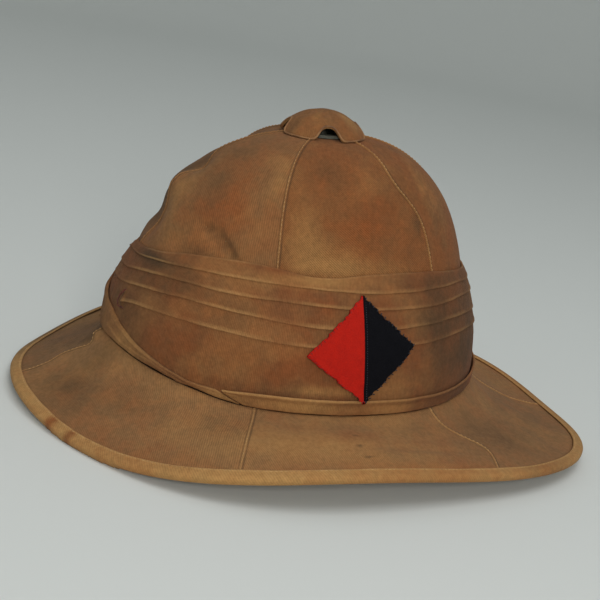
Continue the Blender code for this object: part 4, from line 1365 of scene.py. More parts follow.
def add_wrap():
    azimuth = WRAP_AZIMUTHS
    sections, heights, wear_and_shine = [], [], []
    for height, over, worn_and_lit in wrap_rows(azimuth):
        sections.append(wrap_point(azimuth, height, over + folds(azimuth, height)))
        heights.append(height)
        wear_and_shine.append(np.broadcast_to(worn_and_lit, azimuth.shape))
    foot, top = foot_line(azimuth), wrap_line(0, azimuth)
    for height in (top - 1.0, (foot + top) / 2, foot):
        sections.append(crown_at(azimuth, height, WRAP_INNER))
        heights.append(height)
        wear_and_shine.append(np.zeros_like(azimuth))
    points = np.stack(sections, axis=1)
    marks = patch_marks(WRAP_MARKS, azimuth[:, None], np.stack(heights, axis=1))
    patchy = 0.5 + 0.5 * ring_swell(azimuth, 0.0, 30.0, 60)
    turned = signed(azimuth)
    away = ramp(np.abs(turned - PLAIN_FRONT[0]), PLAIN_FRONT[1], PLAIN_RUN)
    shown = np.clip(patchy, LEAST_WEAR_AND_SHINE, 1.0) * (LEAST_WEAR_AND_SHINE + (1 - LEAST_WEAR_AND_SHINE) * away)
    shown *= 1 - DULL_REAR[2] * near(turned, *DULL_REAR[:2])
    marks["wear_and_shine"] = np.stack(wear_and_shine, axis=1) * shown[:, None]
    return loop_object("pleated_wrap", points, cloths["wrap_cotton"], marks, face=-3)


wrap = add_wrap()
print("wrap triangles:", len(wrap.data.polygons) * 2)

# %% [markdown]
# ## Base band and tail
# The wrap ends in a narrow folded band that hides its raw foot, and in a tail that crosses down over the
# left front. Both lie on the wrap, so their upper edges catch the light and throw a thin dark line.

# %% Lines of the band and the tail
GAP = 0.35
BAND_THICKNESS = 1.3
BAND_START = 57.0
BAND_END = 346.0
TAIL_THICKNESS = 1.7
TAIL_TIP = 61.8
BAND_DROP = 2.6
BAND_LEAN = 0.9
TAIL = np.array(
    (
        # azimuth, lower edge, upper edge
        (-46, 50.0, 60.0), (-34, 40.5, 56.5), (-22, 31.5, 51.5), (-12, 23.0, 47.5), (-4, 0.0, 43.8),
        (7, 0.0, 41.1), (20, 0.0, 33.5), (33, 0.0, 26.2), (46, 0.0, 20.2), (55, 0.0, 17.9),
        (61, 0.0, 13.0), (66, 0.0, 8.5),
    )
)
TAIL_FOLD = np.array(
    # azimuth, height of the tail's second fold
    ((7, 33.0), (20, 27.5), (33, 25.0), (38, 22.3), (45, 18.0), (50, 15.6), (57, 12.5))
)
PLEAT_RAMP = 6.0
# wear and painted highlight along the upper edge of the band and the tail
STRIP_WEAR_AND_SHINE = (0.7, 0.86, 0.1)
STRIP_FOOT, STRIP_SWAY = 0.82, (0.18, 14.0, 70)


def tail_edges(azimuth):
    low = np.interp(azimuth, TAIL[:, 0], TAIL[:, 1])
    low = np.maximum(low, foot_line(azimuth))
    return low, np.interp(azimuth, TAIL[:, 0], TAIL[:, 2])


def strip_marks(azimuth, height, share):
    marks = patch_marks(BAND_MARKS, azimuth, height)
    marks["wear_and_shine"] = STRIP_WEAR_AND_SHINE[0] * ramp(share, *STRIP_WEAR_AND_SHINE[1:])
    return marks


def strip_over(azimuth, share, gap, thickness, thinned=0.0):
    """The strip's outer face over the wrap: thinner at its lower edge, rolled at its upper one."""
    full = STRIP_FOOT + (1 - STRIP_FOOT) * smooth(share * 3)
    body = thickness * full * (1 - thinned * ramp(share, 0.85, 0.15))
    return gap + body + STRIP_SWAY[0] * swell(azimuth * 1.6, share * 14, *STRIP_SWAY[1:])


print("the tail ends at", TAIL_TIP, "degrees")

# %% Base band
BAND_COLUMNS, BAND_ROWS = 430, 15
BAND_DROP_REACH = 8
BAND_SWAY = (0.35, 45.0, 71)
LEAST_WIDTH, TAIL_MARGIN = 0.4, 0.8


def add_band():
    azimuth = np.linspace(BAND_START, BAND_END, BAND_COLUMNS)[:, None]
    share = np.linspace(0.0, 1.0, BAND_ROWS)[None]
    low, high = foot_line(azimuth) + 0.4, waves(BASE_LINE, azimuth) + BAND_HEIGHT - 0.5
    high = high - BAND_DROP * np.exp((BAND_START - azimuth) / BAND_DROP_REACH)
    high = high + BAND_SWAY[0] * ring_swell(azimuth, 0.0, *BAND_SWAY[1:])
    first, last = azimuth < TAIL[-1, 0], azimuth > 360 + TAIL[0, 0]
    low = np.where(first, np.maximum(low, tail_edges(azimuth)[1] + TAIL_MARGIN), low)
    high = np.where(last, np.minimum(high, tail_edges(azimuth - 360)[0] - TAIL_MARGIN), high)
    high = np.maximum(high, low + LEAST_WIDTH)
    height = low + (high - low) * share
    azimuth = np.broadcast_to(azimuth, height.shape)
    over = strip_over(azimuth, share, GAP, BAND_THICKNESS) + BAND_LEAN * ramp(share, 0.6, 0.4)
    points = wrap_point(azimuth, height, over)
    marks = strip_marks(azimuth, height, np.broadcast_to(share, height.shape))
    # less wear and painted highlight on the band past the left side, where it turns from the light
    marks["wear_and_shine"] *= 1 - 0.7 * ramp(azimuth, 92, 15)
    return sheet_object("folded_band", points, BAND_THICKNESS, cloths["wrap_cotton"], marks)


band = add_band()
print("band lies", GAP, "mm over the wrap")

# %% Tail
TAIL_COLUMNS, TAIL_ROWS = 170, 34
TAIL_THINS = 0.65
NO_FOLD = -99.0
FOLD_STEP, FOLD_SHINE = 0.4, 0.15


def add_tail():
    azimuth = np.linspace(TAIL[0, 0], TAIL_TIP, TAIL_COLUMNS)[:, None]
    share = np.linspace(0.0, 1.0, TAIL_ROWS)[None]
    low, high = tail_edges(azimuth)
    low, high = low + 0.3, np.maximum(high - 0.3, low + 0.5)
    thickness = TAIL_THICKNESS * (1 - TAIL_THINS * ramp(azimuth, 48, 13))
    height = low + (high - low) * share
    azimuth = np.broadcast_to(azimuth, height.shape)
    over_pleats = ramp(height - pleat_edge(4, azimuth), -PLEAT_RAMP, PLEAT_RAMP)
    fold = np.interp(azimuth, TAIL_FOLD[:, 0], TAIL_FOLD[:, 1], left=NO_FOLD, right=NO_FOLD)
    step = FOLD_STEP * ramp(fold - height, -0.5, 1.0)
    over = strip_over(azimuth, share, GAP, thickness, 0.4) + PLEAT_DEPTH * over_pleats + step
    points = wrap_point(azimuth, height, over)
    marks = strip_marks(azimuth, height, np.broadcast_to(share, height.shape))
    # the tail's edge keeps little wear and painted highlight towards the front, and its fold gets a thin
    # line of both
    marks["wear_and_shine"] *= 0.35 * ramp(azimuth, 12, 20)
    marks["wear_and_shine"] += FOLD_SHINE * near(height, fold - 0.5, 0.5)
    return sheet_object("wrap_tail_end", points, thickness, cloths["wrap_cotton"], marks)


tail = add_tail()
print("tail triangles:", len(tail.data.polygons) * 2)

# %% [markdown]
# ## The felt patch
# Two triangles of felt meet on a line and make a lozenge, a plain two-colour flash. They were cut by
# hand, so the outline wavers and the edge has pulled fibres. Each half is a grid between the middle line
# and its outer corner, bent round the wrap.

# %% Patch
PATCH_CORNERS = {"top": (95.0, 73.5), "front": (79.0, 42.3), "rear": (112.3, 45.5), "foot": (96.0, 16.0)}
PATCH_HEIGHT = PATCH_CORNERS["top"][1] - PATCH_CORNERS["foot"][1]
PATCH_THICKNESS = 1.4
FELT_THICKNESS = PATCH_THICKNESS - 0.3
PATCH_STAND = 1.35
PATCH_STAND_AT_BAND = 2.1
PATCH_LIFT_REACH = 8.0
PATCH_PARTING = 0.12
PATCH_ROWS = 90
PATCH_COLUMNS = 40
PATCH_RAGGED = {"front": 0.65, "rear": 0.75}
PATCH_SWAY = (0.12, 8.0, 82)
EDGE_ROLL, MIDDLE_ROLL = (0.5, 0.94, 0.06), (0.15, 0.05)


def patch_grid(side, ragged):
    """Azimuths and heights of one half: column 0 is the middle line, the last the outer edge."""
    (top, high), (foot, low), (corner, level) = (PATCH_CORNERS[key] for key in ("top", "foot", side))
    height = np.linspace(low + 0.4, high - 0.4, PATCH_ROWS)
    middle = foot + (top - foot) * (height - low) / (high - low)
    upper = height > level
    end = np.where(upper, top, foot)
    share = np.where(upper, (height - high) / (level - high), (height - low) / (level - low))
    outer = end + (corner - end) * share
    direction = 1 if side == "rear" else -1
    rough = ragged * (swell(height, 0.0, 7.0, 80) + 0.8 * swell(height, 0.0, 2.6, 81))
    outer = outer + direction * np.degrees(rough / MEAN_RADIUS)
    middle = middle + direction * np.degrees(PATCH_PARTING / MEAN_RADIUS)
    part = np.linspace(0.0, 1.0, PATCH_COLUMNS)[:, None]
    azimuth = middle[None] + (outer - middle)[None] * part
    return azimuth, np.broadcast_to(height, azimuth.shape), part


def patch_over(azimuth, height):
    low = waves(BASE_LINE, azimuth) + BAND_HEIGHT
    lift = smooth((low + PATCH_LIFT_REACH - height) / PATCH_LIFT_REACH)
    return PATCH_STAND + (PATCH_STAND_AT_BAND - PATCH_STAND) * lift + PATCH_THICKNESS


def add_patch(side, name, material):
    azimuth, height, part = patch_grid(side, PATCH_RAGGED[side])
    rolled = -EDGE_ROLL[0] * ramp(part, *EDGE_ROLL[1:])
    rolled = rolled - MIDDLE_ROLL[0] * (1 - smooth(part / MIDDLE_ROLL[1]))
    sway = PATCH_SWAY[0] * swell(azimuth * 1.6, height, *PATCH_SWAY[1:])
    over = patch_over(azimuth, height) + rolled + sway
    points = wrap_point(azimuth, height, over)
    if side == "front":
        points = points[::-1]
    felt = sheet_object(name, points, FELT_THICKNESS, material, no_marks(azimuth.shape))
    width, _, area = FLAT_SIZES[name]
    FLAT_SIZES[name] = (width, PATCH_HEIGHT * MM, area)
    return felt


patch_red = add_patch("front", "felt_red", RED_FELT)
patch_black = add_patch("rear", "felt_black", BLACK_FELT)
print("patch is", PATCH_HEIGHT, "mm tall")

# %% [markdown]
# ## Edge binding
# A woven tape is folded over the brim's edge and stitched through. Its section is a long narrow U. The
# tape was eased round the curve, so its upper edge ripples slightly. Where it touches the floor it is
# pressed flat, as the solid model has it.

# %% Edge binding
BINDING_COLUMNS = 720
BINDING_TOP_WIDTH = 6.4
BINDING_UNDER_WIDTH = 5.6
BINDING_THICKNESS = 0.9
HULL_BRIM_AT_CROWN = 3.4
HULL_BRIM_AT_RIM = 1.7
SKIN_DEPTH = CLOTH + GAP
UNDER = SKIN_DEPTH + HULL_BRIM_AT_RIM + GAP
REST_REACH = 0.85
TAPE_NOSE = (
    # distance in from the rim, height over the tape's outer under side
    (4.2, 0.0), (3.0, 0.0), (1.9, 0.0), (1.1, 0.35), (0.5, 0.9), (0.12, 1.6), (0.0, 2.4),
)
TAPE_TOP = (
    # distance in from the rim, depth below the tape's outer upper side
    (0.05, 1.8), (0.4, 1.1), (1.0, 0.4), (1.9, 0.0), (3.2, 0.0), (4.6, 0.0), (5.6, 0.0),
)
TAPE_EDGE = len(TAPE_NOSE) + len(TAPE_TOP)
TAPE_RIPPLE = (0.25, 14.0, 90)
TAPE_WEAR_AND_SHINE = 0.7
BINDING_MARKS = (
    # azimuth, unused height, half width, half height, fade, rust, soil and painted shade
    (23.5, 0, 2.2, 40, -0.3, 1.2, 0.3),
    (30.0, 0, 1.8, 40, -0.3, 1.1, 0.3),
    (100.0, 0, 26, 40, 0.0, 0.6, 0.0),
    (70.0, 0, 30, 40, 0.35, 0.0, 0.0),
    (45.0, 0, 20, 40, 0.0, 0.35, 0.0),
    (130.0, 0, 14, 40, 0.0, 0.5, 0.25),
    (200.0, 0, 60, 40, 0.1, 0.3, 0.2),
    # painted shade: the tape on the far, right front side of the brim
    (-38.0, 0, 46, 40, 0.0, -0.2, 0.9),
)


def hull_brim_thickness(inward):
    return HULL_BRIM_AT_RIM + (HULL_BRIM_AT_CROWN - HULL_BRIM_AT_RIM) * inward


def binding_rows(azimuth):
    """Insets and heights over the brim cloth, round the tape's section."""
    length = brim_length(azimuth)
    extra = hull_brim_thickness(BINDING_UNDER_WIDTH / length) - HULL_BRIM_AT_RIM
    under, top = UNDER + BINDING_THICKNESS, GAP + BINDING_THICKNESS
    ripple = TAPE_RIPPLE[0] * ring_swell(azimuth, 0.0, *TAPE_RIPPLE[1:])
    edge = BINDING_TOP_WIDTH + 0.5 * ripple
    rows = [(BINDING_UNDER_WIDTH, -under - extra)]
    rows += [(inset, rise - under) for inset, rise in TAPE_NOSE]
    widest = TAPE_TOP[-1][0]
    rows += [(inset, top - drop + 0.5 * ripple * (inset / widest) ** 2) for inset, drop in TAPE_TOP]
    rows += [
        (edge, top - 0.1 + 0.5 * ripple),
        (edge + 0.25, top - 0.45 + 0.4 * ripple),
        (edge, GAP),
        (EDGE_SETBACK - GAP, GAP),
        (EDGE_SETBACK - GAP, -UNDER),
        (BINDING_UNDER_WIDTH, -UNDER - extra),
    ]
    return rows, length


def press(points, rows):
    """Lays these rows of the section on the floor where they come within reach of it."""
    world = points[:, rows] @ LEAN_MATRIX.T + MOVE
    world[..., 2] = np.where(world[..., 2] < REST_REACH, 0.0, world[..., 2])
    points[:, rows] = (world - MOVE) @ LEAN_MATRIX


def add_binding():
    azimuth = np.arange(BINDING_COLUMNS) * 360 / BINDING_COLUMNS
    rows, length = binding_rows(azimuth)
    points = np.stack([brim_over(azimuth, inset / length, over) for inset, over in rows], axis=1)
    press(points, slice(0, len(TAPE_NOSE) + 1))
    marks = patch_marks(BINDING_MARKS, azimuth[:, None], np.zeros(points.shape[:2]))
    # wear and a painted highlight on the tape's upper edge
    marks["wear_and_shine"][:, TAPE_EDGE : TAPE_EDGE + 2] = TAPE_WEAR_AND_SHINE
    return loop_object("rim_tape", points, cloths["binding_tape"], marks, face=TAPE_EDGE + 2)


binding = add_binding()
print("tape covers", BINDING_TOP_WIDTH, "mm of the brim")

# %% [markdown]
# ## The hull
# The hull is mostly hidden. It shows from below: the underside of the brim and the hollow for the head.
# It is one closed ring of closed sections, like the wrap, and it is finished with a plain cotton lining.

# %% Hull
HULL_WALL = 4.5
HULL_PARTS = np.arange(40) / 40
HULL_RISES = np.concatenate([[0.04, 0.5], np.linspace(1.0, 2.0, 26)])
HULL_INNER_RISES = np.linspace(1.86, 0.0, 30)
HULL_TOP_STATIONS = np.linspace(0.0, 1.0, 14)
HULL_UNDER_STATIONS = np.linspace(1.02, 0.0, 22)
HULL_STEP = 0.3
FOOT_SHADE = 1.5


def hull_crown(gore, rises, depth):
    azimuth, height = panel_grid(gore, HULL_PARTS, rises)
    across = crown_at(azimuth + HULL_STEP, height) - crown_at(azimuth - HULL_STEP, height)
    along = crown_at(azimuth, height + HULL_STEP) - crown_at(azimuth, height - HULL_STEP)
    inward = dent_depth(azimuth, height) + depth
    return crown_at(azimuth, height) - unit(np.cross(across, along)) * inward[..., None]


def hull_brim(gore, stations, under):
    start, end = SEAMS[gore][3], SEAMS[(gore + 1) % len(SEAMS)][3]
    end += 360 if end < start else 0
    azimuth = (start + (end - start) * HULL_PARTS)[:, None]
    setback = EDGE_SETBACK / brim_length(azimuth)
    inward = setback + (1 - setback) * stations[None]
    depth = SKIN_DEPTH + (hull_brim_thickness(inward) if under else 0.0)
    return brim_over(azimuth, inward, -depth)


def hull_sections(gore):
    """One gore's part of the hull: over the brim, up the crown, down inside it and out below."""
    outer = hull_crown(gore, HULL_RISES, SKIN_DEPTH)
    sections = (
        hull_brim(gore, HULL_TOP_STATIONS, False),
        outer,
        outer[:, -1:] - np.array((0.0, 0.0, HULL_WALL)),
        hull_crown(gore, HULL_INNER_RISES, SKIN_DEPTH + HULL_WALL),
        hull_brim(gore, HULL_UNDER_STATIONS, True),
    )
    return np.concatenate(sections, axis=1)


def add_hull():
    points = np.concatenate([hull_sections(gore) for gore in range(len(SEAMS))], axis=0)
    marks = no_marks(points.shape[:2])
    foot = len(HULL_TOP_STATIONS)
    # painted shade on the lining in the dark slot under the wrap's foot
    marks["soil_and_shade"][:, foot - 2 : foot + 2] = FOOT_SHADE
    return loop_object("hull_shell", points, cloths["hull_lining"], marks)


hull = add_hull()
print("hull triangles:", len(hull.data.polygons) * 2)

# %% [markdown]
# ## Vent cap
# The cap is a low cloth-covered dome over the vent. Four arches are cut into its edge to let the air
# out, and the cloth is turned under all round. Its edge follows the crown closely.

# %% Vent cap
CAP_RADIUS = 25.0
CAP_CREST = 160.2
CAP_CLEARANCE = 0.9
CAP_WALL = 1.6
NOTCH_AZIMUTH = 81.0
NOTCH_COUNT = 4
NOTCH_HEIGHT = 7.3
NOTCH_ARCH = np.array(
    (
        # degrees from the notch's middle, height as a share of the notch's
        (0.0, 1.0), (5.0, 0.98), (9.0, 0.9), (12.5, 0.72), (15.0, 0.46), (17.0, 0.22), (20.0, 0.06),
        (24.0, 0.0),
    )
)
CAP_PROFILE = 1.5
CAP_SWAY = (0.16, 9.0, 95)
CAP_TOP_SHARE = 0.985
CAP_EDGE_WEAR = 0.5
CAP_COLUMNS = 240
CAP_ROWS = 30
CAP_MARKS = (
    # azimuth, height, half width, half height, fade, rust, soil
    (60, 154, 20, 6, 0.25, 0.35, 0.0),
    (110, 152, 18, 6, 0.0, 0.4, 0.1),
    (20, 150, 16, 8, 0.1, -0.4, 0.6),
    (50, 158, 16, 3, 0.3, 0.0, 0.2),
    (140, 156, 30, 5, 0.4, 0.0, 0.1),
)


def notch_rise(azimuth):
    turn = 360 / NOTCH_COUNT
    off = np.abs(np.mod(azimuth - NOTCH_AZIMUTH + turn / 2, turn) - turn / 2)
    return NOTCH_HEIGHT * rounded(NOTCH_ARCH, 1, off, 1.0)


def cap_point(azimuth, share, over=0.0):
    """Share 0 is the cap's edge, with its arches, and 1 its crest."""
    base = level_at(azimuth, CAP_RADIUS) + CAP_CLEARANCE
    rise = CAP_CREST - base
    edge = np.arcsin((notch_rise(azimuth) / rise) ** (1 / CAP_PROFILE))
    angle = edge + (math.pi / 2 - edge) * share
    radius = (CAP_RADIUS + over) * np.cos(angle)
    return np.stack(
        (
            radius * np.sin(np.radians(azimuth)),
            CROWN_CENTRE_TOP - radius * np.cos(np.radians(azimuth)),
            base + (rise + over) * np.sin(angle) ** CAP_PROFILE,
        ),
        axis=-1,
    )


def add_cap():
    azimuth = (np.arange(CAP_COLUMNS) * 360 / CAP_COLUMNS)[:, None]
    share = np.linspace(0.0, CAP_TOP_SHARE, CAP_ROWS)[None]
    azimuth, share = np.broadcast_arrays(azimuth, share)
    points = cap_point(azimuth, share)
    lift = CAP_SWAY[0] * swell(points[..., 0], points[..., 1], *CAP_SWAY[1:])
    points += grid_normals(points, closed=True) * lift[..., None]
    marks = patch_marks(CAP_MARKS, azimuth, points[..., 2])
    marks["wear_and_shine"] = CAP_EDGE_WEAR * (1 - smooth(share / 0.05))
    return sheet_object("cap_cover", points, CAP_WALL, cloths["cap_drill"], marks, closed=True)


cap = add_cap()
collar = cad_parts["vent_collar"].data.materials
collar.clear()
collar.append(COLLAR_PAINT)
print("cap is", 2 * CAP_RADIUS, "mm across")

# %% [markdown]
# ## Stitches by Geometry Nodes
# A row of stitches is one shape repeated along a path. The tree turns a chain of edges into a curve,
# spaces points along it, puts a short fat thread at each and turns it along the path and flat on the
# cloth. The cloth's own direction travels with the path as an attribute called up.

# %% Stitch tree
STITCH_SIZES = ("Pitch", "Length", "Thickness", "Slant", "Spread")
TURN_KIND = "FunctionNodeAlignRotationToVector"


def new_path_tree(name, inputs):
    """A Geometry Nodes tree that takes a path: its sockets, and the path as a curve."""
    inputs = [("Path", "Geometry"), *inputs]
    tree, start, end = new_tree(name, "GeometryNodeTree", inputs, [("Made", "Geometry")])
    return tree, start, end, node(tree, "GeometryNodeMeshToCurve", {"Mesh": start["Path"]}).outputs[0]


def finish_tree(tree, made, material, end):
    """Makes the instances real, smooths them and gives them their material."""
    real = node(tree, "GeometryNodeRealizeInstances", {"Geometry": made.outputs[0]})
    smoothed = node(tree, "GeometryNodeSetShadeSmooth", {"Geometry": real.outputs[0]})
    inputs = {"Geometry": smoothed.outputs[0], "Material": material}
    tree.links.new(node(tree, "GeometryNodeSetMaterial", inputs).outputs[0], end[0])
    return tree


def make_stitch_tree():
    inputs = [*((label, "Float") for label in STITCH_SIZES), ("Seed", "Int"), ("Thread", "Material")]
    tree, start, end, curve = new_path_tree("stitch_row", inputs)
    steps = {"Curve": curve, "Length": start["Pitch"]}
    spaced = node(tree, "GeometryNodeResampleCurve", steps, mode="LENGTH")
    up = node(tree, "GeometryNodeInputNamedAttribute", {"Name": "up"}, data_type="FLOAT_VECTOR")
    tangent = node(tree, "GeometryNodeInputTangent")
    along = node(tree, TURN_KIND, {"Vector": tangent.outputs[0]}, axis="X")
    turns = {"Rotation": along.outputs[0], "Vector": up.outputs[0]}
    flat = node(tree, TURN_KIND, turns, axis="Z", pivot_axis="X")
    bead = node(tree, "GeometryNodeMeshUVSphere", {"Segments": 6, "Rings": 5, "Radius": 0.5})
    sizes = {0: start["Length"], 1: start["Thickness"], 2: start["Thickness"]}
    beads = {
        "Points": spaced.outputs[0],
        "Instance": bead.outputs[0],
        "Rotation": flat.outputs[0],
        "Scale": node(tree, "ShaderNodeCombineXYZ", sizes).outputs[0],
    }
    placed = node(tree, "GeometryNodeInstanceOnPoints", beads)
    limits = {
        2: maths(tree, "SUBTRACT", start["Slant"], start["Spread"]),
        3: maths(tree, "ADD", start["Slant"], start["Spread"]),
        "Seed": start["Seed"],
    }
    turn = node(tree, "FunctionNodeRandomValue", limits, data_type="FLOAT")
    twist = node(tree, "ShaderNodeCombineXYZ", {2: turn.outputs[1]})
    twisted = {"Instances": placed.outputs[0], "Rotation": twist.outputs[0]}
    return finish_tree(tree, node(tree, "GeometryNodeRotateInstances", twisted), start["Thread"], end)


STITCH_TREE = make_stitch_tree()
print("tree nodes:", len(STITCH_TREE.nodes))

# %% Stitch rows


def path_object(name, paths):
    """Chains of edges in one mesh, each from its points and their normals, with normals kept as up."""
    points = np.concatenate([at_rest(points) for points, _ in paths])
    up = np.concatenate([normals @ LEAN_MATRIX.T for _, normals in paths])
    edges, first = [], 0
    for line, _ in paths:
        edges += [(first + index, first + index + 1) for index in range(len(line) - 1)]
        first += len(line)
    mesh = bpy.data.meshes.new(name)
    mesh.from_pydata(points.tolist(), edges, [])
    attribute = mesh.attributes.new("up", "FLOAT_VECTOR", "POINT")
    attribute.data.foreach_set("vector", up.astype(np.float32).ravel())
    return add_object(name, mesh)


def grown(name, paths, tree, values):
    """Runs a Geometry Nodes tree on the paths and keeps its result as a plain mesh."""
    guide = path_object(name + "_path", paths)
    modifier = guide.modifiers.new("grow", "NODES")
    modifier.node_group = tree
    for item in tree.interface.items_tree:
        if item.in_out == "INPUT" and item.name in values:
            modifier[item.identifier] = values[item.name]
    evaluated = guide.evaluated_get(bpy.context.evaluated_depsgraph_get())
    mesh = bpy.data.meshes.new_from_object(evaluated)
    mesh.name = name
    bpy.data.objects.remove(guide)
    return add_object(name, mesh)


def stitch_row(name, paths, thread, pitch, length, thickness, slant=0.0, spread=0.12, seed=1):
    """A row of stitches. The sizes are in millimetres, the slant and its spread in radians."""
    sizes = (pitch * MM, length * MM, thickness * MM, slant, spread)
    values = {**dict(zip(STITCH_SIZES, sizes)), "Seed": seed, "Thread": threads[thread]}
    return grown(name, paths, STITCH_TREE, values)


print("a stitch's sizes:", ", ".join(STITCH_SIZES))

# %% Seam stitches
GORE_FINE = np.linspace(0.0, 1.0, 200)
SEAM_RISES = np.linspace(0.98, 1.97, 70)
BRIM_SEAM_STATIONS = np.linspace(0.09, 0.98, 50)
STITCH_SINK = 0.08
STITCH_LINE = 0.5
SEAM_STITCH = (2.5, 1.5, 0.42)


def seam_line(surface, seam, stations):
    """Points and normals along a seam, a little in from the edge of the panel that laps over it."""
    from_end = SEAMS[seam][-1] < 0
    panel = (seam - 1) % len(SEAMS) if from_end else seam
    points, normals = surface(panel, GORE_FINE, stations, over=STITCH_SINK)[:2]
    run = edge_distances(points)[from_end]
    order = slice(None, None, -1) if from_end else slice(None)
    line = [
        [np.interp(STITCH_LINE, run[order, row], points[order, row, axis]) for axis in range(3)]
        for row in range(points.shape[1])
    ]
    return np.array(line), normals[-2 if from_end else 1]


crown_paths = [seam_line(crown_cloth, seam, SEAM_RISES) for seam in range(len(SEAMS))]
brim_paths = [seam_line(brim_cloth, seam, BRIM_SEAM_STATIONS) for seam in range(len(SEAMS))]
trims = {
    "front_stitches": stitch_row("front_stitches", crown_paths[:1], "cloth_thread", *SEAM_STITCH),
    "crown_stitches": stitch_row("crown_stitches", crown_paths[1:], "pale_thread", *SEAM_STITCH),
    "brim_stitches": stitch_row("brim_stitches", brim_paths, "pale_thread", *SEAM_STITCH, seed=2),
}
print("seam stitches:", sum(len(row.data.polygons) for row in trims.values()), "faces")

# %% [markdown]
# ## Stitches on the tape and the patch
# The tape is sewn through the brim in one row near its upper edge and one near its lower edge. The felt
# is whipped to the wrap with slanting stitches over its edge, and pale running stitches hold the dark
# half along the middle line.

# %% Tape and patch stitches
TAPE_STITCH = (5.5, GAP + BINDING_THICKNESS + 0.02)
UNDER_STITCH = (4.8, -(UNDER + BINDING_THICKNESS + 0.02))
TUCK_EDGE = np.array(((15.5, 46.4), (12.2, 46.0), (11.0, 48.5), (11.4, 52.0), (13.6, 56.0)))
TUCK_STAND = 2.5


def path_over(surface, first, second, over):
    """Points a distance over a surface, with their outward normals."""
    points = surface(first, second, over)
    return points, unit(surface(first, second, over + 1.0) - points)


def tape_path(inset, over):
    azimuth = np.linspace(0.0, 360.0, 500)
    points, normals = path_over(brim_over, azimuth, inset / brim_length(azimuth), over)
    return points, normals * (1 if over > 0 else -1)


def patch_path(side, column, inset, low, high):
    """A line along a column of a patch half, moved in by an inset, with its outward normals."""
    azimuth, height, _ = patch_grid(side, 0.0)
    rows = slice(int(low * PATCH_ROWS), int(high * PATCH_ROWS))
    line, level = azimuth[column][rows] + math.degrees(inset / MEAN_RADIUS), height[column][rows]
    return path_over(wrap_point, line, level, patch_over(line, level) + 0.05)


def tuck_path():
    """The raw edge of the lowest pleat, where it is tucked away at the front."""
    corners_at, steps = np.arange(len(TUCK_EDGE)), np.linspace(0, len(TUCK_EDGE) - 1, 25)
    azimuth, height = (np.interp(steps, corners_at, TUCK_EDGE[:, column]) for column in (0, 1))
    return path_over(wrap_point, azimuth, height, TUCK_STAND)


PATHS = {
    "tape_stitches": [tape_path(*TAPE_STITCH), tape_path(*UNDER_STITCH)],
    "red_whip_stitches": [patch_path("front", -1, 0.4, 0.02, 0.98)],
    "black_whip_stitches": [patch_path("rear", -1, -0.1, 0.02, 0.98)],
    "patch_fold_stitches": [patch_path("rear", 0, 1.1, 0.05, 0.95)],
    "tuck_fray": [tuck_path()],
}
STITCHES = (
    # name, thread, pitch, length, thickness, slant, spread, seed
    ("tape_stitches", "pale_thread", 2.6, 1.8, 0.36, 0.0, 0.12, 3),
    ("red_whip_stitches", "red_thread", 2.4, 1.9, 0.38, 1.1, 0.8, 4),
    ("black_whip_stitches", "black_thread", 3.1, 2.0, 0.7, -1.1, 0.3, 5),
    ("patch_fold_stitches", "grey_thread", 1.3, 0.8, 0.28, 0.0, 0.12, 6),
    ("tuck_fray", "rusty_thread", 1.0, 2.4, 0.6, 0.0, 0.9, 8),
)
for name, *sizes in STITCHES:
    trims[name] = stitch_row(name, PATHS[name], *sizes)
print("tape stitches:", len(trims["tape_stitches"].data.polygons), "faces")

# %% [markdown]
# ## Piping on the cap
# The arches and the edge of the cap are bound with a thin rolled edge of the same cloth. A second tree
# sweeps a small circle along the cap's outline.

# %% Piping tree


def make_piping_tree():
    inputs = [("Radius", "Float"), ("Cloth", "Material")]
    tree, start, end, curve = new_path_tree("piping", inputs)
    ring = {"Resolution": 8, "Radius": start["Radius"]}
    circle = node(tree, "GeometryNodeCurvePrimitiveCircle", ring)
    sweep = {"Curve": curve, "Profile Curve": circle.outputs[0], "Fill Caps": True}
    return finish_tree(tree, node(tree, "GeometryNodeCurveToMesh", sweep), start["Cloth"], end)


PIPING_TREE = make_piping_tree()
print("tree nodes:", len(PIPING_TREE.nodes))

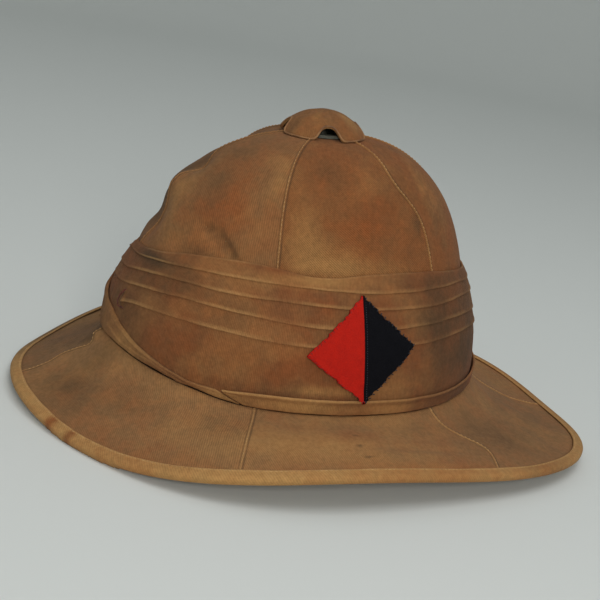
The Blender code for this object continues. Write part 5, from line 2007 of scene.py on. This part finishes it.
# %% Piping and stitches of the cap
PIPING_RADIUS = 0.55
PIPING_STAND = 0.1
CAP_RING = np.linspace(0.0, 360.0, 361)
CAP_STITCH_SHARE = 0.055
CAP_STITCH = ("cloth_thread", 1.6, 1.1, 0.3)
edge_line = cap_point(CAP_RING, 0.0, PIPING_STAND)
edge_normals = unit(edge_line - np.array((0.0, CROWN_CENTRE_TOP, CAP_CREST - 40.0)))
piping = {"Radius": PIPING_RADIUS * MM, "Cloth": threads["cloth_thread"]}
trims["cap_piping"] = grown("cap_piping", [(edge_line, edge_normals)], PIPING_TREE, piping)
stitch_line = path_over(cap_point, CAP_RING, CAP_STITCH_SHARE, 0.05)
trims["cap_stitches"] = stitch_row("cap_stitches", [stitch_line], *CAP_STITCH, seed=7)
print("piping:", len(trims["cap_piping"].data.polygons), "faces")

# %% [markdown]
# ## Hand over the pieces
# Every piece rides on the one body, and a piece that stands for a plain solid hides it.

# %% Ride and replacements


def hand_over(piece, slot, *nodes):
    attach(piece, "root")
    if nodes:
        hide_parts(*nodes)


for gore, name in enumerate(PANELS):
    hand_over(gores[gore], "crown_cloth", f"crown_gore_{name}")
    hand_over(brims[gore], "brim_cloth", f"brim_piece_{name}")
hand_over(wrap, "wrap_cloth", "wrap")
hand_over(band, "wrap_cloth", "wrap_base_band")
hand_over(tail, "wrap_cloth", "wrap_tail")
hand_over(patch_red, "red_felt", "patch_red")
hand_over(patch_black, "black_felt", "patch_black")
hand_over(binding, "binding_tape", "edge_binding")
hand_over(hull, "moulded_hull", "hull_crown", "hull_brim")
hand_over(cap, "crown_cloth", "vent_cap")
for name, slot in (
    ("front_stitches", "crown_cloth"),
    ("crown_stitches", "crown_cloth"),
    ("brim_stitches", "brim_cloth"),
    ("tape_stitches", "binding_tape"),
    ("tuck_fray", "wrap_cloth"),
    ("red_whip_stitches", "red_felt"),
    ("black_whip_stitches", "black_felt"),
    ("patch_fold_stitches", "black_felt"),
    ("cap_piping", "crown_cloth"),
    ("cap_stitches", "crown_cloth"),
):
    hand_over(trims[name], slot)

# %% Cloth sheets: none are declared


# %% Update the view layer
bpy.context.view_layer.update()
